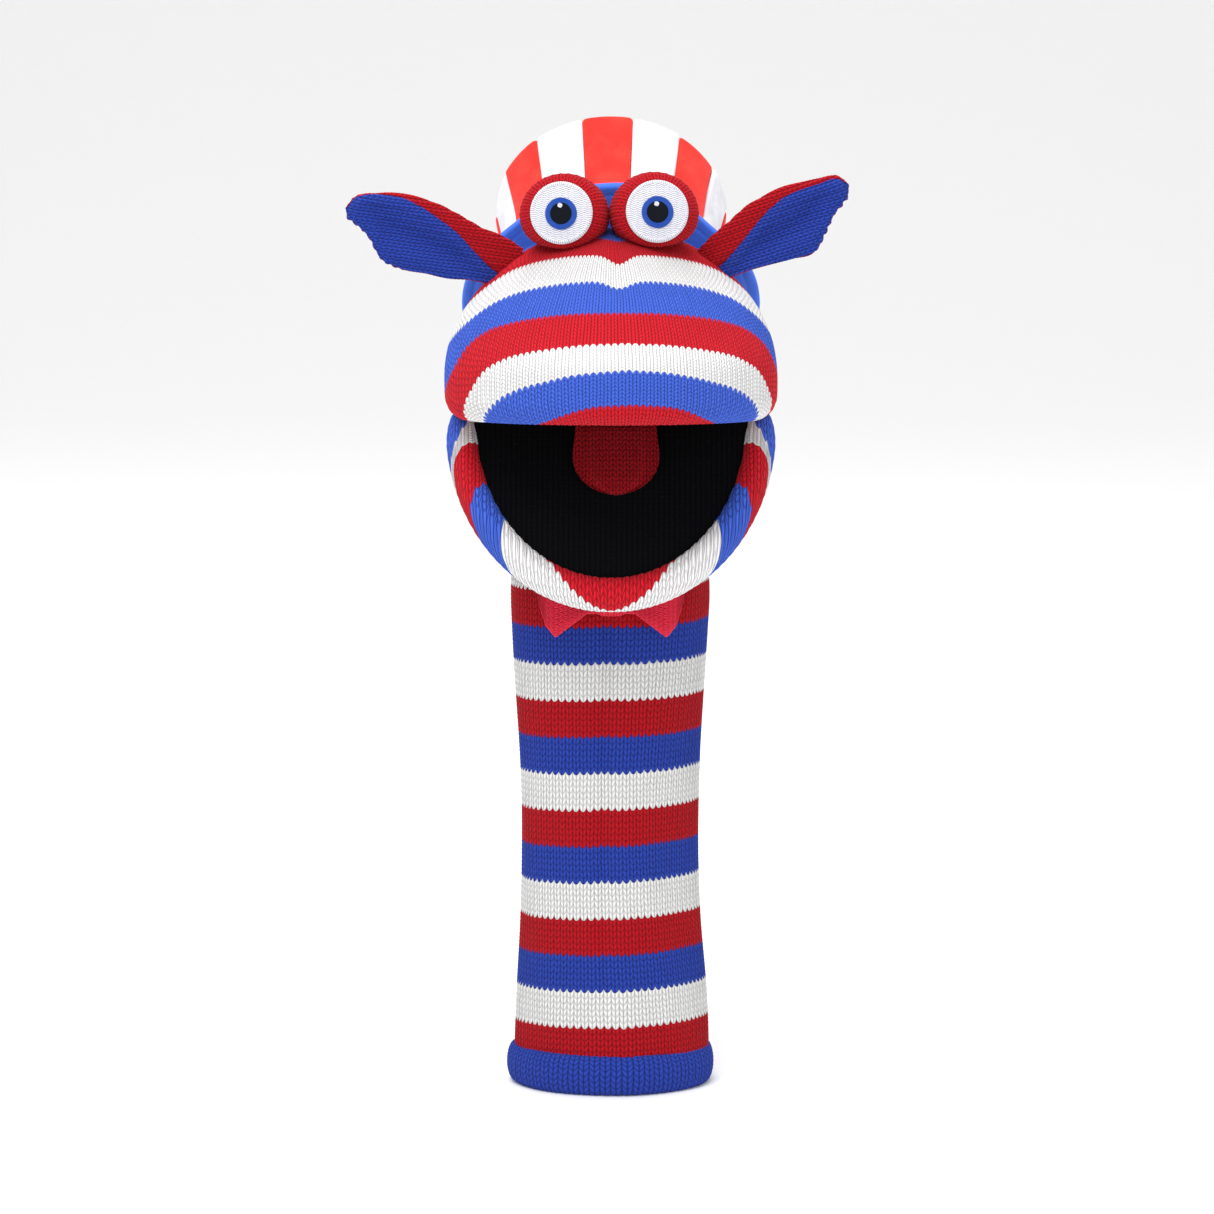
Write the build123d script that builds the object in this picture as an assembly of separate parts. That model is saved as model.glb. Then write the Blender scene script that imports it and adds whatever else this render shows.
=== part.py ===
from build123d import *
import math
import os

# Sock puppet, in millimetres, +Z up. The origin is the centre of the cuff's opening.
# The puppet faces -Y: the snout points to -Y, the hat lies back towards +Y.

# Knitted sleeve and cuff
SLEEVE_HALF_WIDTH = 38.0
SLEEVE_HALF_DEPTH = 24.0
KNIT = 2.0
CUFF_HEIGHT = 16.4
CUFF_STANDS_OUT = 4.0
CUFF_ROUNDING = 3.2

# Where the sleeve bends: a level turning line, a tilting line and a nodding line
JOINT_GAP = 0.3
TURN_Z = 120.0
TILT_AXIS_Z = 150.0
TILT_RADIUS = SLEEVE_HALF_WIDTH + 12.0
NOD_AXIS_Z = TILT_AXIS_Z + TILT_RADIUS
NOD_RADIUS = SLEEVE_HALF_DEPTH + 11.0

# The hand: four fingers in the upper head, the thumb in the lower jaw
FINGER_HALF_WIDTH = 42.0
FINGER_LENGTH = 54.0
FINGER_HEIGHT = 16.0
FINGER_TIP_CORNER = 20.0
FINGER_WAY_BACK = 9.0
FINGER_WAY_IN = 8.0
FINGER_WAY_LENGTH = 24.0
THUMB_HALF_WIDTH = 16.0
THUMB_LENGTH = 52.0
THUMB_HEIGHT = 12.4
POCKET_WALL = 0.7

# Mouth: hinge line, open angle and the mouth plates, which reach past the fingers
MOUTH_Y = -38.0
MOUTH_Z = NOD_AXIS_Z + 83.0
PALATE_RISE = 5.5
JAW_DROP = 64.4
MOUTH_GAP = 0.35
MOUTH_HALF_WIDTH = FINGER_HALF_WIDTH + 12.0
MOUTH_LENGTH = FINGER_LENGTH + 11.0
FLOOR_DEPTH = 4.2
LINING = 1.0
BOARD = 1.3
BOARD_MARGIN = 1.5

# Lips: a roll round the mouth, whose outline both jaws share
LIP_ROLL = 12.0
LIP_HALF_WIDTH = MOUTH_HALF_WIDTH + LIP_ROLL
LIP_LENGTH = MOUTH_LENGTH + LIP_ROLL

# Lower jaw: as thick as the thumb's pocket needs
JAW_SOLE = 1.7
JAW_THICKNESS = FLOOR_DEPTH + LINING + BOARD + THUMB_HEIGHT + 2 * POCKET_WALL + JAW_SOLE
JAW_BACK_Y = -33.0

# Upper head
HEAD_HEIGHT = 76.0
HEAD_BACK = 70.0
CROWN_OF_HEAD = 12.0
PALM_TOP_Z = MOUTH_Z + 31.0
THUMB_WINDOW_Z = (MOUTH_Z - 40.0, MOUTH_Z - 8.0)

# Tongue
TONGUE_HALF_WIDTH = 18.0
TONGUE_LENGTH = 32.0
TONGUE_ROOT = 3.0
TONGUE_LAYER = 1.7
TONGUE_X = 2.0
TONGUE_CLEARANCE = 0.3

# Eyes: side by side on the crown of the head, placed along the mouth plate and off it
EYE_RADIUS = 18.0
EYES_APART = 0.6
EYE_X = EYE_RADIUS + EYES_APART / 2
EYE_FORWARD = LIP_LENGTH - 59.0
EYE_UP = HEAD_HEIGHT + 6.6
EYE_RISE = 10.0
EYE_TOE_OUT = 5.0
PATCH_RADIUS = 12.8
PATCH_THICKNESS = 1.2
IRIS_RADIUS = 6.5
PUPIL_RADIUS = 4.4
HIGHLIGHT_RADIUS = 1.0
HIGHLIGHT_RISE = 2.6
STITCH_HEIGHT = 0.6

# Hat
HAT_Y = MOUTH_Y + 50.5
HAT_Z = MOUTH_Z + 40.0
HAT_LEAN = 60.0
BRIM_RADIUS = 61.0
BRIM_HOLE_RADIUS = 30.0
BRIM_FABRIC = 1.2
BRIM_STIFFENER = 1.5
CROWN_BASE_RADIUS = 40.0
CROWN_TOP_RADIUS = 48.0
CROWN_HEIGHT = 63.0
CROWN_FABRIC = 2.0
CROWN_PANELS = 14

# Ears: a leaf outline given from the root, along the ear and across it
EAR_LENGTH = 62.0
EAR_ROOT_X = LIP_HALF_WIDTH - 19.0
EAR_ROOT_Y = MOUTH_Y - 1.0
EAR_ROOT_Z = MOUTH_Z + HEAD_HEIGHT - 15.0
EAR_REST_ANGLE = (17.0, 27.0)
EAR_BACK = 1.8
EAR_WADDING = 2.0
EAR_FRONT = 1.8
EAR_SEAM_GAP = 0.9
EAR_LAYER_GAP = 2.0

# Bow tie
BOW_Z = NOD_AXIS_Z + 6.0
BOW_BACK_GAP = 0.4
BOW_THICKNESS = 6.5
KNOT_HALF_WIDTH = 6.0
KNOT_HALF_HEIGHT = 6.5
WING_TIP_X = 30.0
WING_ROOT_HALF_HEIGHT = 6.0
WING_TIP_HALF_HEIGHT = 13.0

FAR = 400.0
mouth_line = Pos(0, MOUTH_Y, MOUTH_Z)
# Both frames have their origin on the mouth's hinge line. -Y runs forward along the mouth plate.
# In the head's frame +Z leads up into the head, in the jaw's frame -Z leads down into the jaw.
head_frame = mouth_line * Rot(X=-PALATE_RISE)
jaw_frame = mouth_line * Rot(X=JAW_DROP)
hat_frame = Pos(0, HAT_Y, HAT_Z) * Rot(X=-HAT_LEAN)

pieces = {}


def ellipse_stack(sections, frame):
    """Lofts through ellipses given as (height, centre along Y, half-width, half-depth)."""
    faces = []
    for height, centre, half_width, half_depth in sections:
        faces.append(frame * Pos(0, centre, height) * Ellipse(half_width, half_depth))
    return loft(faces)


def oval_tube(low, high, wall, half_width, half_depth):
    """An upright oval tube between two heights."""
    outer = Pos(0, 0, low) * extrude(Ellipse(half_width, half_depth), high - low)
    inner = Pos(0, 0, low - 1) * extrude(
        Ellipse(half_width - wall, half_depth - wall), high - low + 2
    )
    return outer - inner


def roller(axis_z, radius, along):
    """A long level cylinder about a bending line that runs along X or Y."""
    turn = Rot(Y=90) if along == "X" else Rot(X=90)
    return Pos(0, 0, axis_z) * turn * Cylinder(radius, FAR)


def above(z):
    """Everything above a level."""
    return Pos(0, 0, z) * Box(FAR, FAR, FAR, align=(Align.CENTER, Align.CENTER, Align.MIN))


def front_half(shape, frame, start):
    """The part of a shape forward of a plane across the mouth, in a mouth frame."""
    keep = frame * Pos(0, -start, 0) * Box(FAR, FAR, FAR, align=(Align.CENTER, Align.MAX, Align.CENTER))
    return shape & keep


def plate(frame, half_width, length, start, low, high):
    """Half an ellipse in the mouth's outline, as a flat plate between two heights."""
    whole = frame * Pos(0, 0, low) * extrude(Ellipse(half_width, length), high - low)
    return front_half(whole, frame, start)


def finger_leaf(half_width, length, corner, low, high):
    """A flat block from the hinge line forward, with its two front corners rounded."""
    outline = Pos(0, -length / 2) * Rectangle(2 * half_width, length)
    outline = fillet(outline.vertices().group_by(Axis.Y)[0], corner)
    return Pos(0, 0, low) * extrude(outline, high - low)


# ---- sleeve, wrist and neck -------------------------------------------------------------


def build_sleeve():
    """The cuff's hem and the three stretches of the knitted tube."""
    width = SLEEVE_HALF_WIDTH
    depth = SLEEVE_HALF_DEPTH
    hem = extrude(Ellipse(width + CUFF_STANDS_OUT, depth + CUFF_STANDS_OUT), CUFF_HEIGHT)
    hem = fillet(hem.edges(), CUFF_ROUNDING)
    hole = Pos(0, 0, -1) * extrude(Ellipse(width - KNIT, depth - KNIT), CUFF_HEIGHT + 2)
    pieces["cuff_hem"] = hem - hole

    pieces["forearm_tube"] = oval_tube(CUFF_HEIGHT, TURN_Z, KNIT, width, depth)

    tilt = roller(TILT_AXIS_Z, TILT_RADIUS, "Y")
    tilt_clear = roller(TILT_AXIS_Z, TILT_RADIUS + JOINT_GAP, "Y")
    nod = roller(NOD_AXIS_Z, NOD_RADIUS, "X")
    wrist = oval_tube(TURN_Z + JOINT_GAP, TILT_AXIS_Z + TILT_RADIUS, KNIT, width, depth)
    low_wrist = oval_tube(TURN_Z + JOINT_GAP, TILT_AXIS_Z, KNIT, width, depth)
    pieces["wrist_tube"] = low_wrist + ((wrist & above(TILT_AXIS_Z)) & tilt)

    neck = oval_tube(TILT_AXIS_Z, NOD_AXIS_Z + NOD_RADIUS, KNIT, width, depth) - tilt_clear
    low_neck = neck - above(NOD_AXIS_Z)
    pieces["neck_tube"] = low_neck + ((neck & above(NOD_AXIS_Z)) & nod)


def build_bow():
    """The bow tie: a knot and two wings in front of the neck, under the nodding line."""
    back = -SLEEVE_HALF_DEPTH - BOW_BACK_GAP
    under_the_nod = roller(NOD_AXIS_Z, NOD_RADIUS - JOINT_GAP, "X")
    knot = Pos(0, back - BOW_THICKNESS / 2, BOW_Z) * Box(
        2 * KNOT_HALF_WIDTH, BOW_THICKNESS, 2 * KNOT_HALF_HEIGHT
    )
    knot = fillet(knot.edges().filter_by(Axis.Y), 2)
    pieces["bow_knot"] = knot & under_the_nod
    for side, name in ((-1, "left"), (1, "right")):
        outline = Polyline(
            (side * KNOT_HALF_WIDTH, -WING_ROOT_HALF_HEIGHT),
            (side * (WING_TIP_X - 7), -WING_TIP_HALF_HEIGHT),
            (side * WING_TIP_X, 0),
            (side * (WING_TIP_X - 1), WING_TIP_HALF_HEIGHT),
            (side * KNOT_HALF_WIDTH, WING_ROOT_HALF_HEIGHT),
            close=True,
        )
        face = Plane(origin=(0, back, BOW_Z), x_dir=(1, 0, 0), z_dir=(0, -1, 0)) * make_face(outline)
        pieces["bow_wing_" + name] = extrude(face, BOW_THICKNESS) & under_the_nod


# ---- upper head -------------------------------------------------------------------------


def snout_sections(inset):
    """The upper head's ellipses from the lip up, each drawn in by inset."""
    rim = []
    for height, drawn_in in ((MOUTH_GAP, 5.5), (3.0, 2.6), (6.0, 0.9), (10.0, 0.0)):
        rim.append((height, drawn_in))
    sections = []
    for height, drawn_in in rim:
        front = LIP_LENGTH - drawn_in
        back = HEAD_BACK - drawn_in
        sections.append((height, front, back, LIP_HALF_WIDTH - drawn_in))
    # Above the lip the front slopes back to the crown, and the sides close over it.
    widest = 18.0
    rise = HEAD_HEIGHT - widest
    for share, front, back in (
        (0.06897, LIP_LENGTH - 1, HEAD_BACK + 1),
        (0.25862, LIP_LENGTH - 11, HEAD_BACK - 1),
        (0.44828, LIP_LENGTH - 20, HEAD_BACK - 6),
        (0.62931, LIP_LENGTH - 30, HEAD_BACK - 12),
        (0.81034, LIP_LENGTH - 40, HEAD_BACK - 24),
        (0.93103, LIP_LENGTH - 52, HEAD_BACK - 36),
    ):
        height = widest + rise * share
        across = LIP_HALF_WIDTH * math.sqrt(1 - (rise * share / (rise + 1)) ** 2)
        sections.append((height, front, back, across))
    sections.append((HEAD_HEIGHT, 12.0, 12.0, CROWN_OF_HEAD))
    top = HEAD_HEIGHT - inset
    result = []
    for height, front, back, across in sections:
        level = min(max(height, MOUTH_GAP + inset), top)
        if result and level <= result[-1][0]:
            level = result[-1][0] + 0.3
        centre = (back - front) / 2
        result.append((level, centre, across - inset, (front + back) / 2 - inset))
    return result


def skirt_sections(inset):
    """The knitted skirt from the nodding line up into the head."""
    width = SLEEVE_HALF_WIDTH - inset
    depth = SLEEVE_HALF_DEPTH - inset
    return [
        (NOD_AXIS_Z + 15, 0, width, depth),
        (NOD_AXIS_Z + 45, 0, width + 1, depth + 1),
        (NOD_AXIS_Z + 70, 0, width + 7, depth + 3),
        (MOUTH_Z + 12, 0, width + 13, depth + 5),
    ]


def build_head():
    """The upper head's cover, filling, mouth board, lining and finger pocket."""
    nod_clear = roller(NOD_AXIS_Z, NOD_RADIUS + JOINT_GAP, "X")
    behind_hat = hat_frame * above(0)
    snout = ellipse_stack(snout_sections(0), head_frame)
    snout_inside = ellipse_stack(snout_sections(KNIT), head_frame)
    skirt = ellipse_stack(skirt_sections(0), Pos(0, 0, 0))
    skirt_inside = ellipse_stack(skirt_sections(KNIT), Pos(0, 0, 0))
    palm = Pos(0, 0, MOUTH_Z) * extrude(
        Ellipse(SLEEVE_HALF_WIDTH - KNIT, SLEEVE_HALF_DEPTH - KNIT), PALM_TOP_Z - MOUTH_Z
    )

    lining_top = FLOOR_DEPTH + LINING
    board_top = lining_top + BOARD
    half_width = MOUTH_HALF_WIDTH + BOARD_MARGIN
    length = MOUTH_LENGTH + BOARD_MARGIN
    recess = plate(head_frame, MOUTH_HALF_WIDTH, MOUTH_LENGTH, 0, -1, FLOOR_DEPTH)
    board_room = plate(head_frame, half_width, length, 0, FLOOR_DEPTH, board_top)
    for name, low, high in (
        ("palate_lining", FLOOR_DEPTH, lining_top),
        ("palate_board", lining_top, board_top),
    ):
        pieces[name] = plate(head_frame, half_width, length, MOUTH_GAP, low, high)

    pocket_low = board_top + POCKET_WALL
    pocket_high = pocket_low + FINGER_HEIGHT
    pocket_block = head_frame * finger_leaf(
        FINGER_HALF_WIDTH + POCKET_WALL,
        FINGER_LENGTH + POCKET_WALL,
        FINGER_TIP_CORNER + POCKET_WALL,
        board_top,
        pocket_high + POCKET_WALL,
    )
    pocket_space = head_frame * Pos(0, 1) * finger_leaf(
        FINGER_HALF_WIDTH, FINGER_LENGTH + 1, FINGER_TIP_CORNER, pocket_low, pocket_high
    )
    finger_way = head_frame * Pos(0, FINGER_WAY_BACK, (pocket_low + pocket_high) / 2) * Box(
        2 * (FINGER_HALF_WIDTH - FINGER_WAY_IN), FINGER_WAY_LENGTH, FINGER_HEIGHT
    )
    pieces["finger_pocket"] = pocket_block - pocket_space - finger_way

    outside = snout - behind_hat
    inside = snout_inside - behind_hat
    window_low, window_high = THUMB_WINDOW_Z
    window = Pos(0, -SLEEVE_HALF_DEPTH, (window_low + window_high) / 2) * Box(
        2 * THUMB_HALF_WIDTH, SLEEVE_HALF_DEPTH, window_high - window_low
    )
    neck_wall = skirt - skirt_inside - nod_clear - behind_hat - window
    pieces["head_skirt"] = neck_wall - pocket_block - finger_way
    shell = outside - inside - skirt - palm
    pieces["head_shell"] = shell - recess - board_room
    filling = inside - skirt - palm - board_room - recess - pocket_block - finger_way
    floor_of_filling = head_frame * Pos(0, 0, MOUTH_GAP + KNIT) * Box(
        FAR, FAR, FAR, align=(Align.CENTER, Align.CENTER, Align.MAX)
    )
    pieces["head_stuffing"] = filling - floor_of_filling
    return snout


# ---- eyes -------------------------------------------------------------------------------


def build_eyes(head_solid):
    """Two stuffed knitted mounds, each with an embroidered eye on its flat front."""
    front = math.sqrt(EYE_RADIUS**2 - PATCH_RADIUS**2)
    for side, name in ((-1, "left"), (1, "right")):
        centre = head_frame * Pos(side * EYE_X, -EYE_FORWARD, EYE_UP) * Rot(X=PALATE_RISE)
        facing = centre * Rot(Z=side * EYE_TOE_OUT) * Rot(X=90 - EYE_RISE)
        cut_front = facing * Pos(0, 0, front) * Box(
            FAR, FAR, FAR, align=(Align.CENTER, Align.CENTER, Align.MIN)
        )
        ball = centre * Sphere(EYE_RADIUS) - cut_front - head_solid
        core = centre * Sphere(EYE_RADIUS - KNIT) - cut_front - head_solid
        pieces["eye_cover_" + name] = ball - core
        pieces["eye_filling_" + name] = core
        seat = facing * Pos(0, 0, front)
        patch = seat * extrude(Circle(PATCH_RADIUS), PATCH_THICKNESS)
        pieces["eye_patch_" + name] = patch - head_solid
        seat = seat * Pos(0, 0, PATCH_THICKNESS)
        ring = Circle(IRIS_RADIUS) - Circle(PUPIL_RADIUS)
        glint = Pos(0, HIGHLIGHT_RISE) * Circle(HIGHLIGHT_RADIUS)
        pieces["eye_iris_" + name] = seat * extrude(ring, STITCH_HEIGHT)
        pieces["eye_pupil_" + name] = seat * extrude(Circle(PUPIL_RADIUS) - glint, STITCH_HEIGHT)
        pieces["eye_highlight_" + name] = seat * extrude(glint, STITCH_HEIGHT)


# ---- hat --------------------------------------------------------------------------------


def build_hat():
    """The brim of two fabrics and a stiffener, and the panelled crown round its filling."""
    level = 0.0
    for name, thick in (
        ("hat_brim_under", BRIM_FABRIC),
        ("hat_brim_stiffener", BRIM_STIFFENER),
        ("hat_brim_upper", BRIM_FABRIC),
    ):
        ring = Circle(BRIM_RADIUS) - Circle(BRIM_HOLE_RADIUS)
        pieces[name] = hat_frame * Pos(0, 0, level) * extrude(ring, thick)
        level += thick
    middle = hat_frame * Pos(0, 0, level + CROWN_HEIGHT / 2)
    outer = middle * Cone(CROWN_BASE_RADIUS, CROWN_TOP_RADIUS, CROWN_HEIGHT)
    core = middle * Cone(
        CROWN_BASE_RADIUS - CROWN_FABRIC, CROWN_TOP_RADIUS - CROWN_FABRIC, CROWN_HEIGHT
    )
    wall = outer - core
    step = 360 / CROWN_PANELS
    reach = 2 * CROWN_TOP_RADIUS
    half = math.radians(step / 2)
    wedge_outline = Polyline(
        (0, 0),
        (reach * math.sin(-half), reach * math.cos(half)),
        (reach * math.sin(half), reach * math.cos(half)),
        close=True,
    )
    wedge = Pos(0, 0, level) * extrude(make_face(wedge_outline), CROWN_HEIGHT)
    for number in range(CROWN_PANELS):
        sector = hat_frame * Rot(Z=number * step + 180) * wedge
        pieces[f"hat_panel_{number + 1:02d}"] = wall & sector
    plug = hat_frame * extrude(Circle(BRIM_HOLE_RADIUS), level)
    pieces["hat_filling"] = core + plug
    top = hat_frame * Pos(0, 0, level + CROWN_HEIGHT)
    pieces["hat_top"] = top * extrude(Circle(CROWN_TOP_RADIUS), CROWN_FABRIC)


# ---- lower jaw and tongue ---------------------------------------------------------------


def jaw_sections(inset):
    """The lower jaw's ellipses from its underside up to the lip."""
    low = JAW_THICKNESS
    sections = []
    for depth, drawn_in in (
        (low, 14.0),
        (low - 4, 5.5),
        (low - 8, 1.5),
        (10.0, 0.0),
        (6.0, 0.9),
        (3.0, 2.6),
        (MOUTH_GAP, 5.5),
    ):
        level = min(max(depth, MOUTH_GAP + inset), low - inset)
        if sections and -level <= sections[-1][0]:
            level = -sections[-1][0] - 0.3
        half_width = LIP_HALF_WIDTH - drawn_in - inset
        length = LIP_LENGTH - drawn_in - inset
        sections.append((-level, 0, half_width, length))
    return sections


def build_jaw():
    """The lower jaw's cover, filling, mouth board, lining and thumb pocket."""
    in_front = Pos(0, JAW_BACK_Y, MOUTH_Z) * Box(
        FAR, FAR, FAR, align=(Align.CENTER, Align.MAX, Align.CENTER)
    )
    outside = front_half(ellipse_stack(jaw_sections(0), jaw_frame), jaw_frame, MOUTH_GAP)
    inside = front_half(ellipse_stack(jaw_sections(KNIT), jaw_frame), jaw_frame, MOUTH_GAP)
    outside = outside & in_front
    inside = inside & in_front
    lining_low = FLOOR_DEPTH + LINING
    board_low = lining_low + BOARD
    half_width = MOUTH_HALF_WIDTH + BOARD_MARGIN
    length = MOUTH_LENGTH + BOARD_MARGIN
    recess = plate(jaw_frame, MOUTH_HALF_WIDTH, MOUTH_LENGTH, 0, -FLOOR_DEPTH, 1)
    board_room = plate(jaw_frame, half_width, length, 0, -board_low, -FLOOR_DEPTH)
    lining = plate(jaw_frame, half_width, length, MOUTH_GAP, -lining_low, -FLOOR_DEPTH)
    board = plate(jaw_frame, half_width, length, MOUTH_GAP, -board_low, -lining_low)
    pieces["jaw_lining"] = lining & in_front
    pieces["jaw_board"] = board & in_front

    height = THUMB_HEIGHT + 2 * POCKET_WALL
    pocket_frame = jaw_frame * Pos(0, -THUMB_LENGTH / 2, -board_low - height / 2)
    pocket_block = pocket_frame * Box(
        2 * (THUMB_HALF_WIDTH + POCKET_WALL), THUMB_LENGTH + 2 * POCKET_WALL, height
    )
    pocket_space = pocket_frame * Pos(0, 5, 0) * Box(
        2 * THUMB_HALF_WIDTH, THUMB_LENGTH + 10, THUMB_HEIGHT
    )
    pieces["thumb_pocket"] = (pocket_block - pocket_space) & in_front
    pieces["jaw_shell"] = outside - inside - recess - board_room - pocket_block
    pieces["jaw_stuffing"] = inside - recess - board_room - pocket_block


def build_tongue():
    """Two knitted layers that lie on the floor of the mouth, sewn in at their root."""
    floor = -FLOOR_DEPTH + TONGUE_CLEARANCE
    straight = TONGUE_LENGTH - TONGUE_ROOT - TONGUE_HALF_WIDTH
    outline = Pos(TONGUE_X, -TONGUE_ROOT - straight / 2) * Rectangle(2 * TONGUE_HALF_WIDTH, straight)
    tip = Pos(TONGUE_X, -TONGUE_ROOT - straight) * Circle(TONGUE_HALF_WIDTH)
    leaf = outline + (tip - Pos(TONGUE_X, -TONGUE_ROOT + FAR / 2) * Rectangle(FAR, FAR))
    for name, low in (("tongue_underside", floor), ("tongue_top", floor + TONGUE_LAYER)):
        pieces[name] = jaw_frame * Pos(0, 0, low) * extrude(leaf, TONGUE_LAYER)


# ---- ears -------------------------------------------------------------------------------


def ear_leaf():
    """The ear's leaf outline, from its root at x = 0 to its tip at x = EAR_LENGTH."""
    upper = Spline(
        (0, 9),
        (EAR_LENGTH * 0.28, 13.5),
        (EAR_LENGTH * 0.62, 15.5),
        (EAR_LENGTH * 0.9, 8),
        (EAR_LENGTH, -2),
    )
    lower = Spline(
        (EAR_LENGTH, -2),
        (EAR_LENGTH * 0.86, -9),
        (EAR_LENGTH * 0.66, -18),
        (EAR_LENGTH * 0.34, -14.5),
        (0, -9),
    )
    root = Line((0, -9), (0, 9))
    return make_face(upper + lower + root)


def build_ears():
    """Both ears: a back fabric, a wadding and a front fabric, clear of the head."""
    near_head = ellipse_stack(snout_sections(-EAR_SEAM_GAP), head_frame)
    off_head = ellipse_stack(snout_sections(-EAR_LAYER_GAP), head_frame)
    thickness = EAR_BACK + EAR_WADDING + EAR_FRONT
    leaf = ear_leaf()
    for side, name, angle in ((-1, "left", EAR_REST_ANGLE[0]), (1, "right", EAR_REST_ANGLE[1])):
        level = -thickness / 2
        for layer, thick, clear in (
            ("front", EAR_FRONT, off_head),
            ("wadding", EAR_WADDING, near_head),
            ("back", EAR_BACK, off_head),
        ):
            # the leaf is drawn in the X-Z plane and thickened towards +Y
            flat = Rot(X=90) * Pos(0, 0, -level - thick) * extrude(leaf, thick)
            if side < 0:
                flat = mirror(flat, about=Plane.YZ)
            placed = Pos(side * EAR_ROOT_X, EAR_ROOT_Y, EAR_ROOT_Z) * Rot(Y=-side * angle) * flat
            pieces[f"ear_{layer}_{name}"] = placed - clear
            level += thick


# ---- the whole puppet -------------------------------------------------------------------

build_sleeve()
build_bow()
head_solid = build_head()
build_eyes(head_solid)
build_hat()
build_jaw()
build_tongue()
build_ears()

os.makedirs("parts", exist_ok=True)
for name, piece in pieces.items():
    export_step(piece, f"parts/{name}.step")
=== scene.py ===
"""A knitted hand puppet with stripes, a moving mouth, raised eyes, leaf ears and a top hat.

Lengths inside the classes are millimetres in the puppet's own frame: +Z up the sleeve, -Y the
way the face looks. They become metres when a mesh is made.
"""

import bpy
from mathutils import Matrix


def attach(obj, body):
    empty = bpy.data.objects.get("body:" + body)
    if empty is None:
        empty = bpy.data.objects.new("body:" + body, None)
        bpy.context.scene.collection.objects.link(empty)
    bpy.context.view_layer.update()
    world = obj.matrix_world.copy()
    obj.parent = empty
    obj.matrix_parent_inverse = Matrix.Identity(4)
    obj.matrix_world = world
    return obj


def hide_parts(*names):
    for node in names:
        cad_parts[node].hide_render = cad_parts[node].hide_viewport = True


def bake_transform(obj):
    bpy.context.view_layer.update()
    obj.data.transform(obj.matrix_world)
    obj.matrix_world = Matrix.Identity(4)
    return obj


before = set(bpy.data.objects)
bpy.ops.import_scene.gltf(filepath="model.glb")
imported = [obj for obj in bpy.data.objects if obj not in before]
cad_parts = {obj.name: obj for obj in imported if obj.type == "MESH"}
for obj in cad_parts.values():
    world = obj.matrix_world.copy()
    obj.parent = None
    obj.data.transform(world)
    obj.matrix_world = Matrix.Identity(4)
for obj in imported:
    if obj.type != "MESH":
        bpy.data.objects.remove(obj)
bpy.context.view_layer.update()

import logging
import math
from dataclasses import dataclass
from enum import Enum
from typing import Any, Callable, Optional, Sequence

import bmesh
import bpy
import numpy as np

log = logging.getLogger("puppet")

MM = 0.001
Array = np.ndarray
Shape = Callable[[Array, Array], Array]
Colour = tuple[float, float, float]


class Side(Enum):
    """Which of a pair, and its sign along X."""

    LEFT = -1
    RIGHT = 1

    @property
    def word(self) -> str:
        """The name that the frame's nodes use."""
        return self.name.lower()


# ---- shader graph -----------------------------------------------------------------------


class Signal:
    """A number that varies over a surface, with the arithmetic that a shader needs."""

    def __init__(self, graph: "Graph", socket: bpy.types.NodeSocket) -> None:
        """Wraps one output socket."""
        self.graph = graph
        self.socket = socket

    def _math(self, operation: str, *values: Any) -> "Signal":
        """Adds one Math node."""
        node = self.graph.node(
            "ShaderNodeMath", {"operation": operation}, {i: v for i, v in enumerate(values)}
        )
        return Signal(self.graph, node.outputs[0])

    def __add__(self, other: Any) -> "Signal":
        """Sum."""
        return self._math("ADD", self, other)

    __radd__ = __add__

    def __sub__(self, other: Any) -> "Signal":
        """Difference."""
        return self._math("SUBTRACT", self, other)

    def __rsub__(self, other: Any) -> "Signal":
        """Difference from a value."""
        return self._math("SUBTRACT", other, self)

    def __mul__(self, other: Any) -> "Signal":
        """Product."""
        return self._math("MULTIPLY", self, other)

    __rmul__ = __mul__

    def __truediv__(self, other: Any) -> "Signal":
        """Quotient."""
        return self._math("DIVIDE", self, other)

    def __pow__(self, power: float) -> "Signal":
        """Power."""
        return self._math("POWER", self, power)

    def floor(self) -> "Signal":
        """Whole part."""
        return self._math("FLOOR", self)

    def fract(self) -> "Signal":
        """Part after the point."""
        return self._math("FRACT", self)

    def abs(self) -> "Signal":
        """Size without sign."""
        return self._math("ABSOLUTE", self)

    def sine(self) -> "Signal":
        """Sine of an angle in radians."""
        return self._math("SINE", self)

    def clamp(self) -> "Signal":
        """Held between 0 and 1."""
        return self._math("MINIMUM", self._math("MAXIMUM", self, 0.0), 1.0)

    def wrap(self, top: float) -> "Signal":
        """Wrapped into 0 to top."""
        return self._math("WRAP", self, top, 0.0)

    def above(self, level: Any) -> "Signal":
        """1 where it is above a level, otherwise 0."""
        return self._math("GREATER_THAN", self, level)


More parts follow.
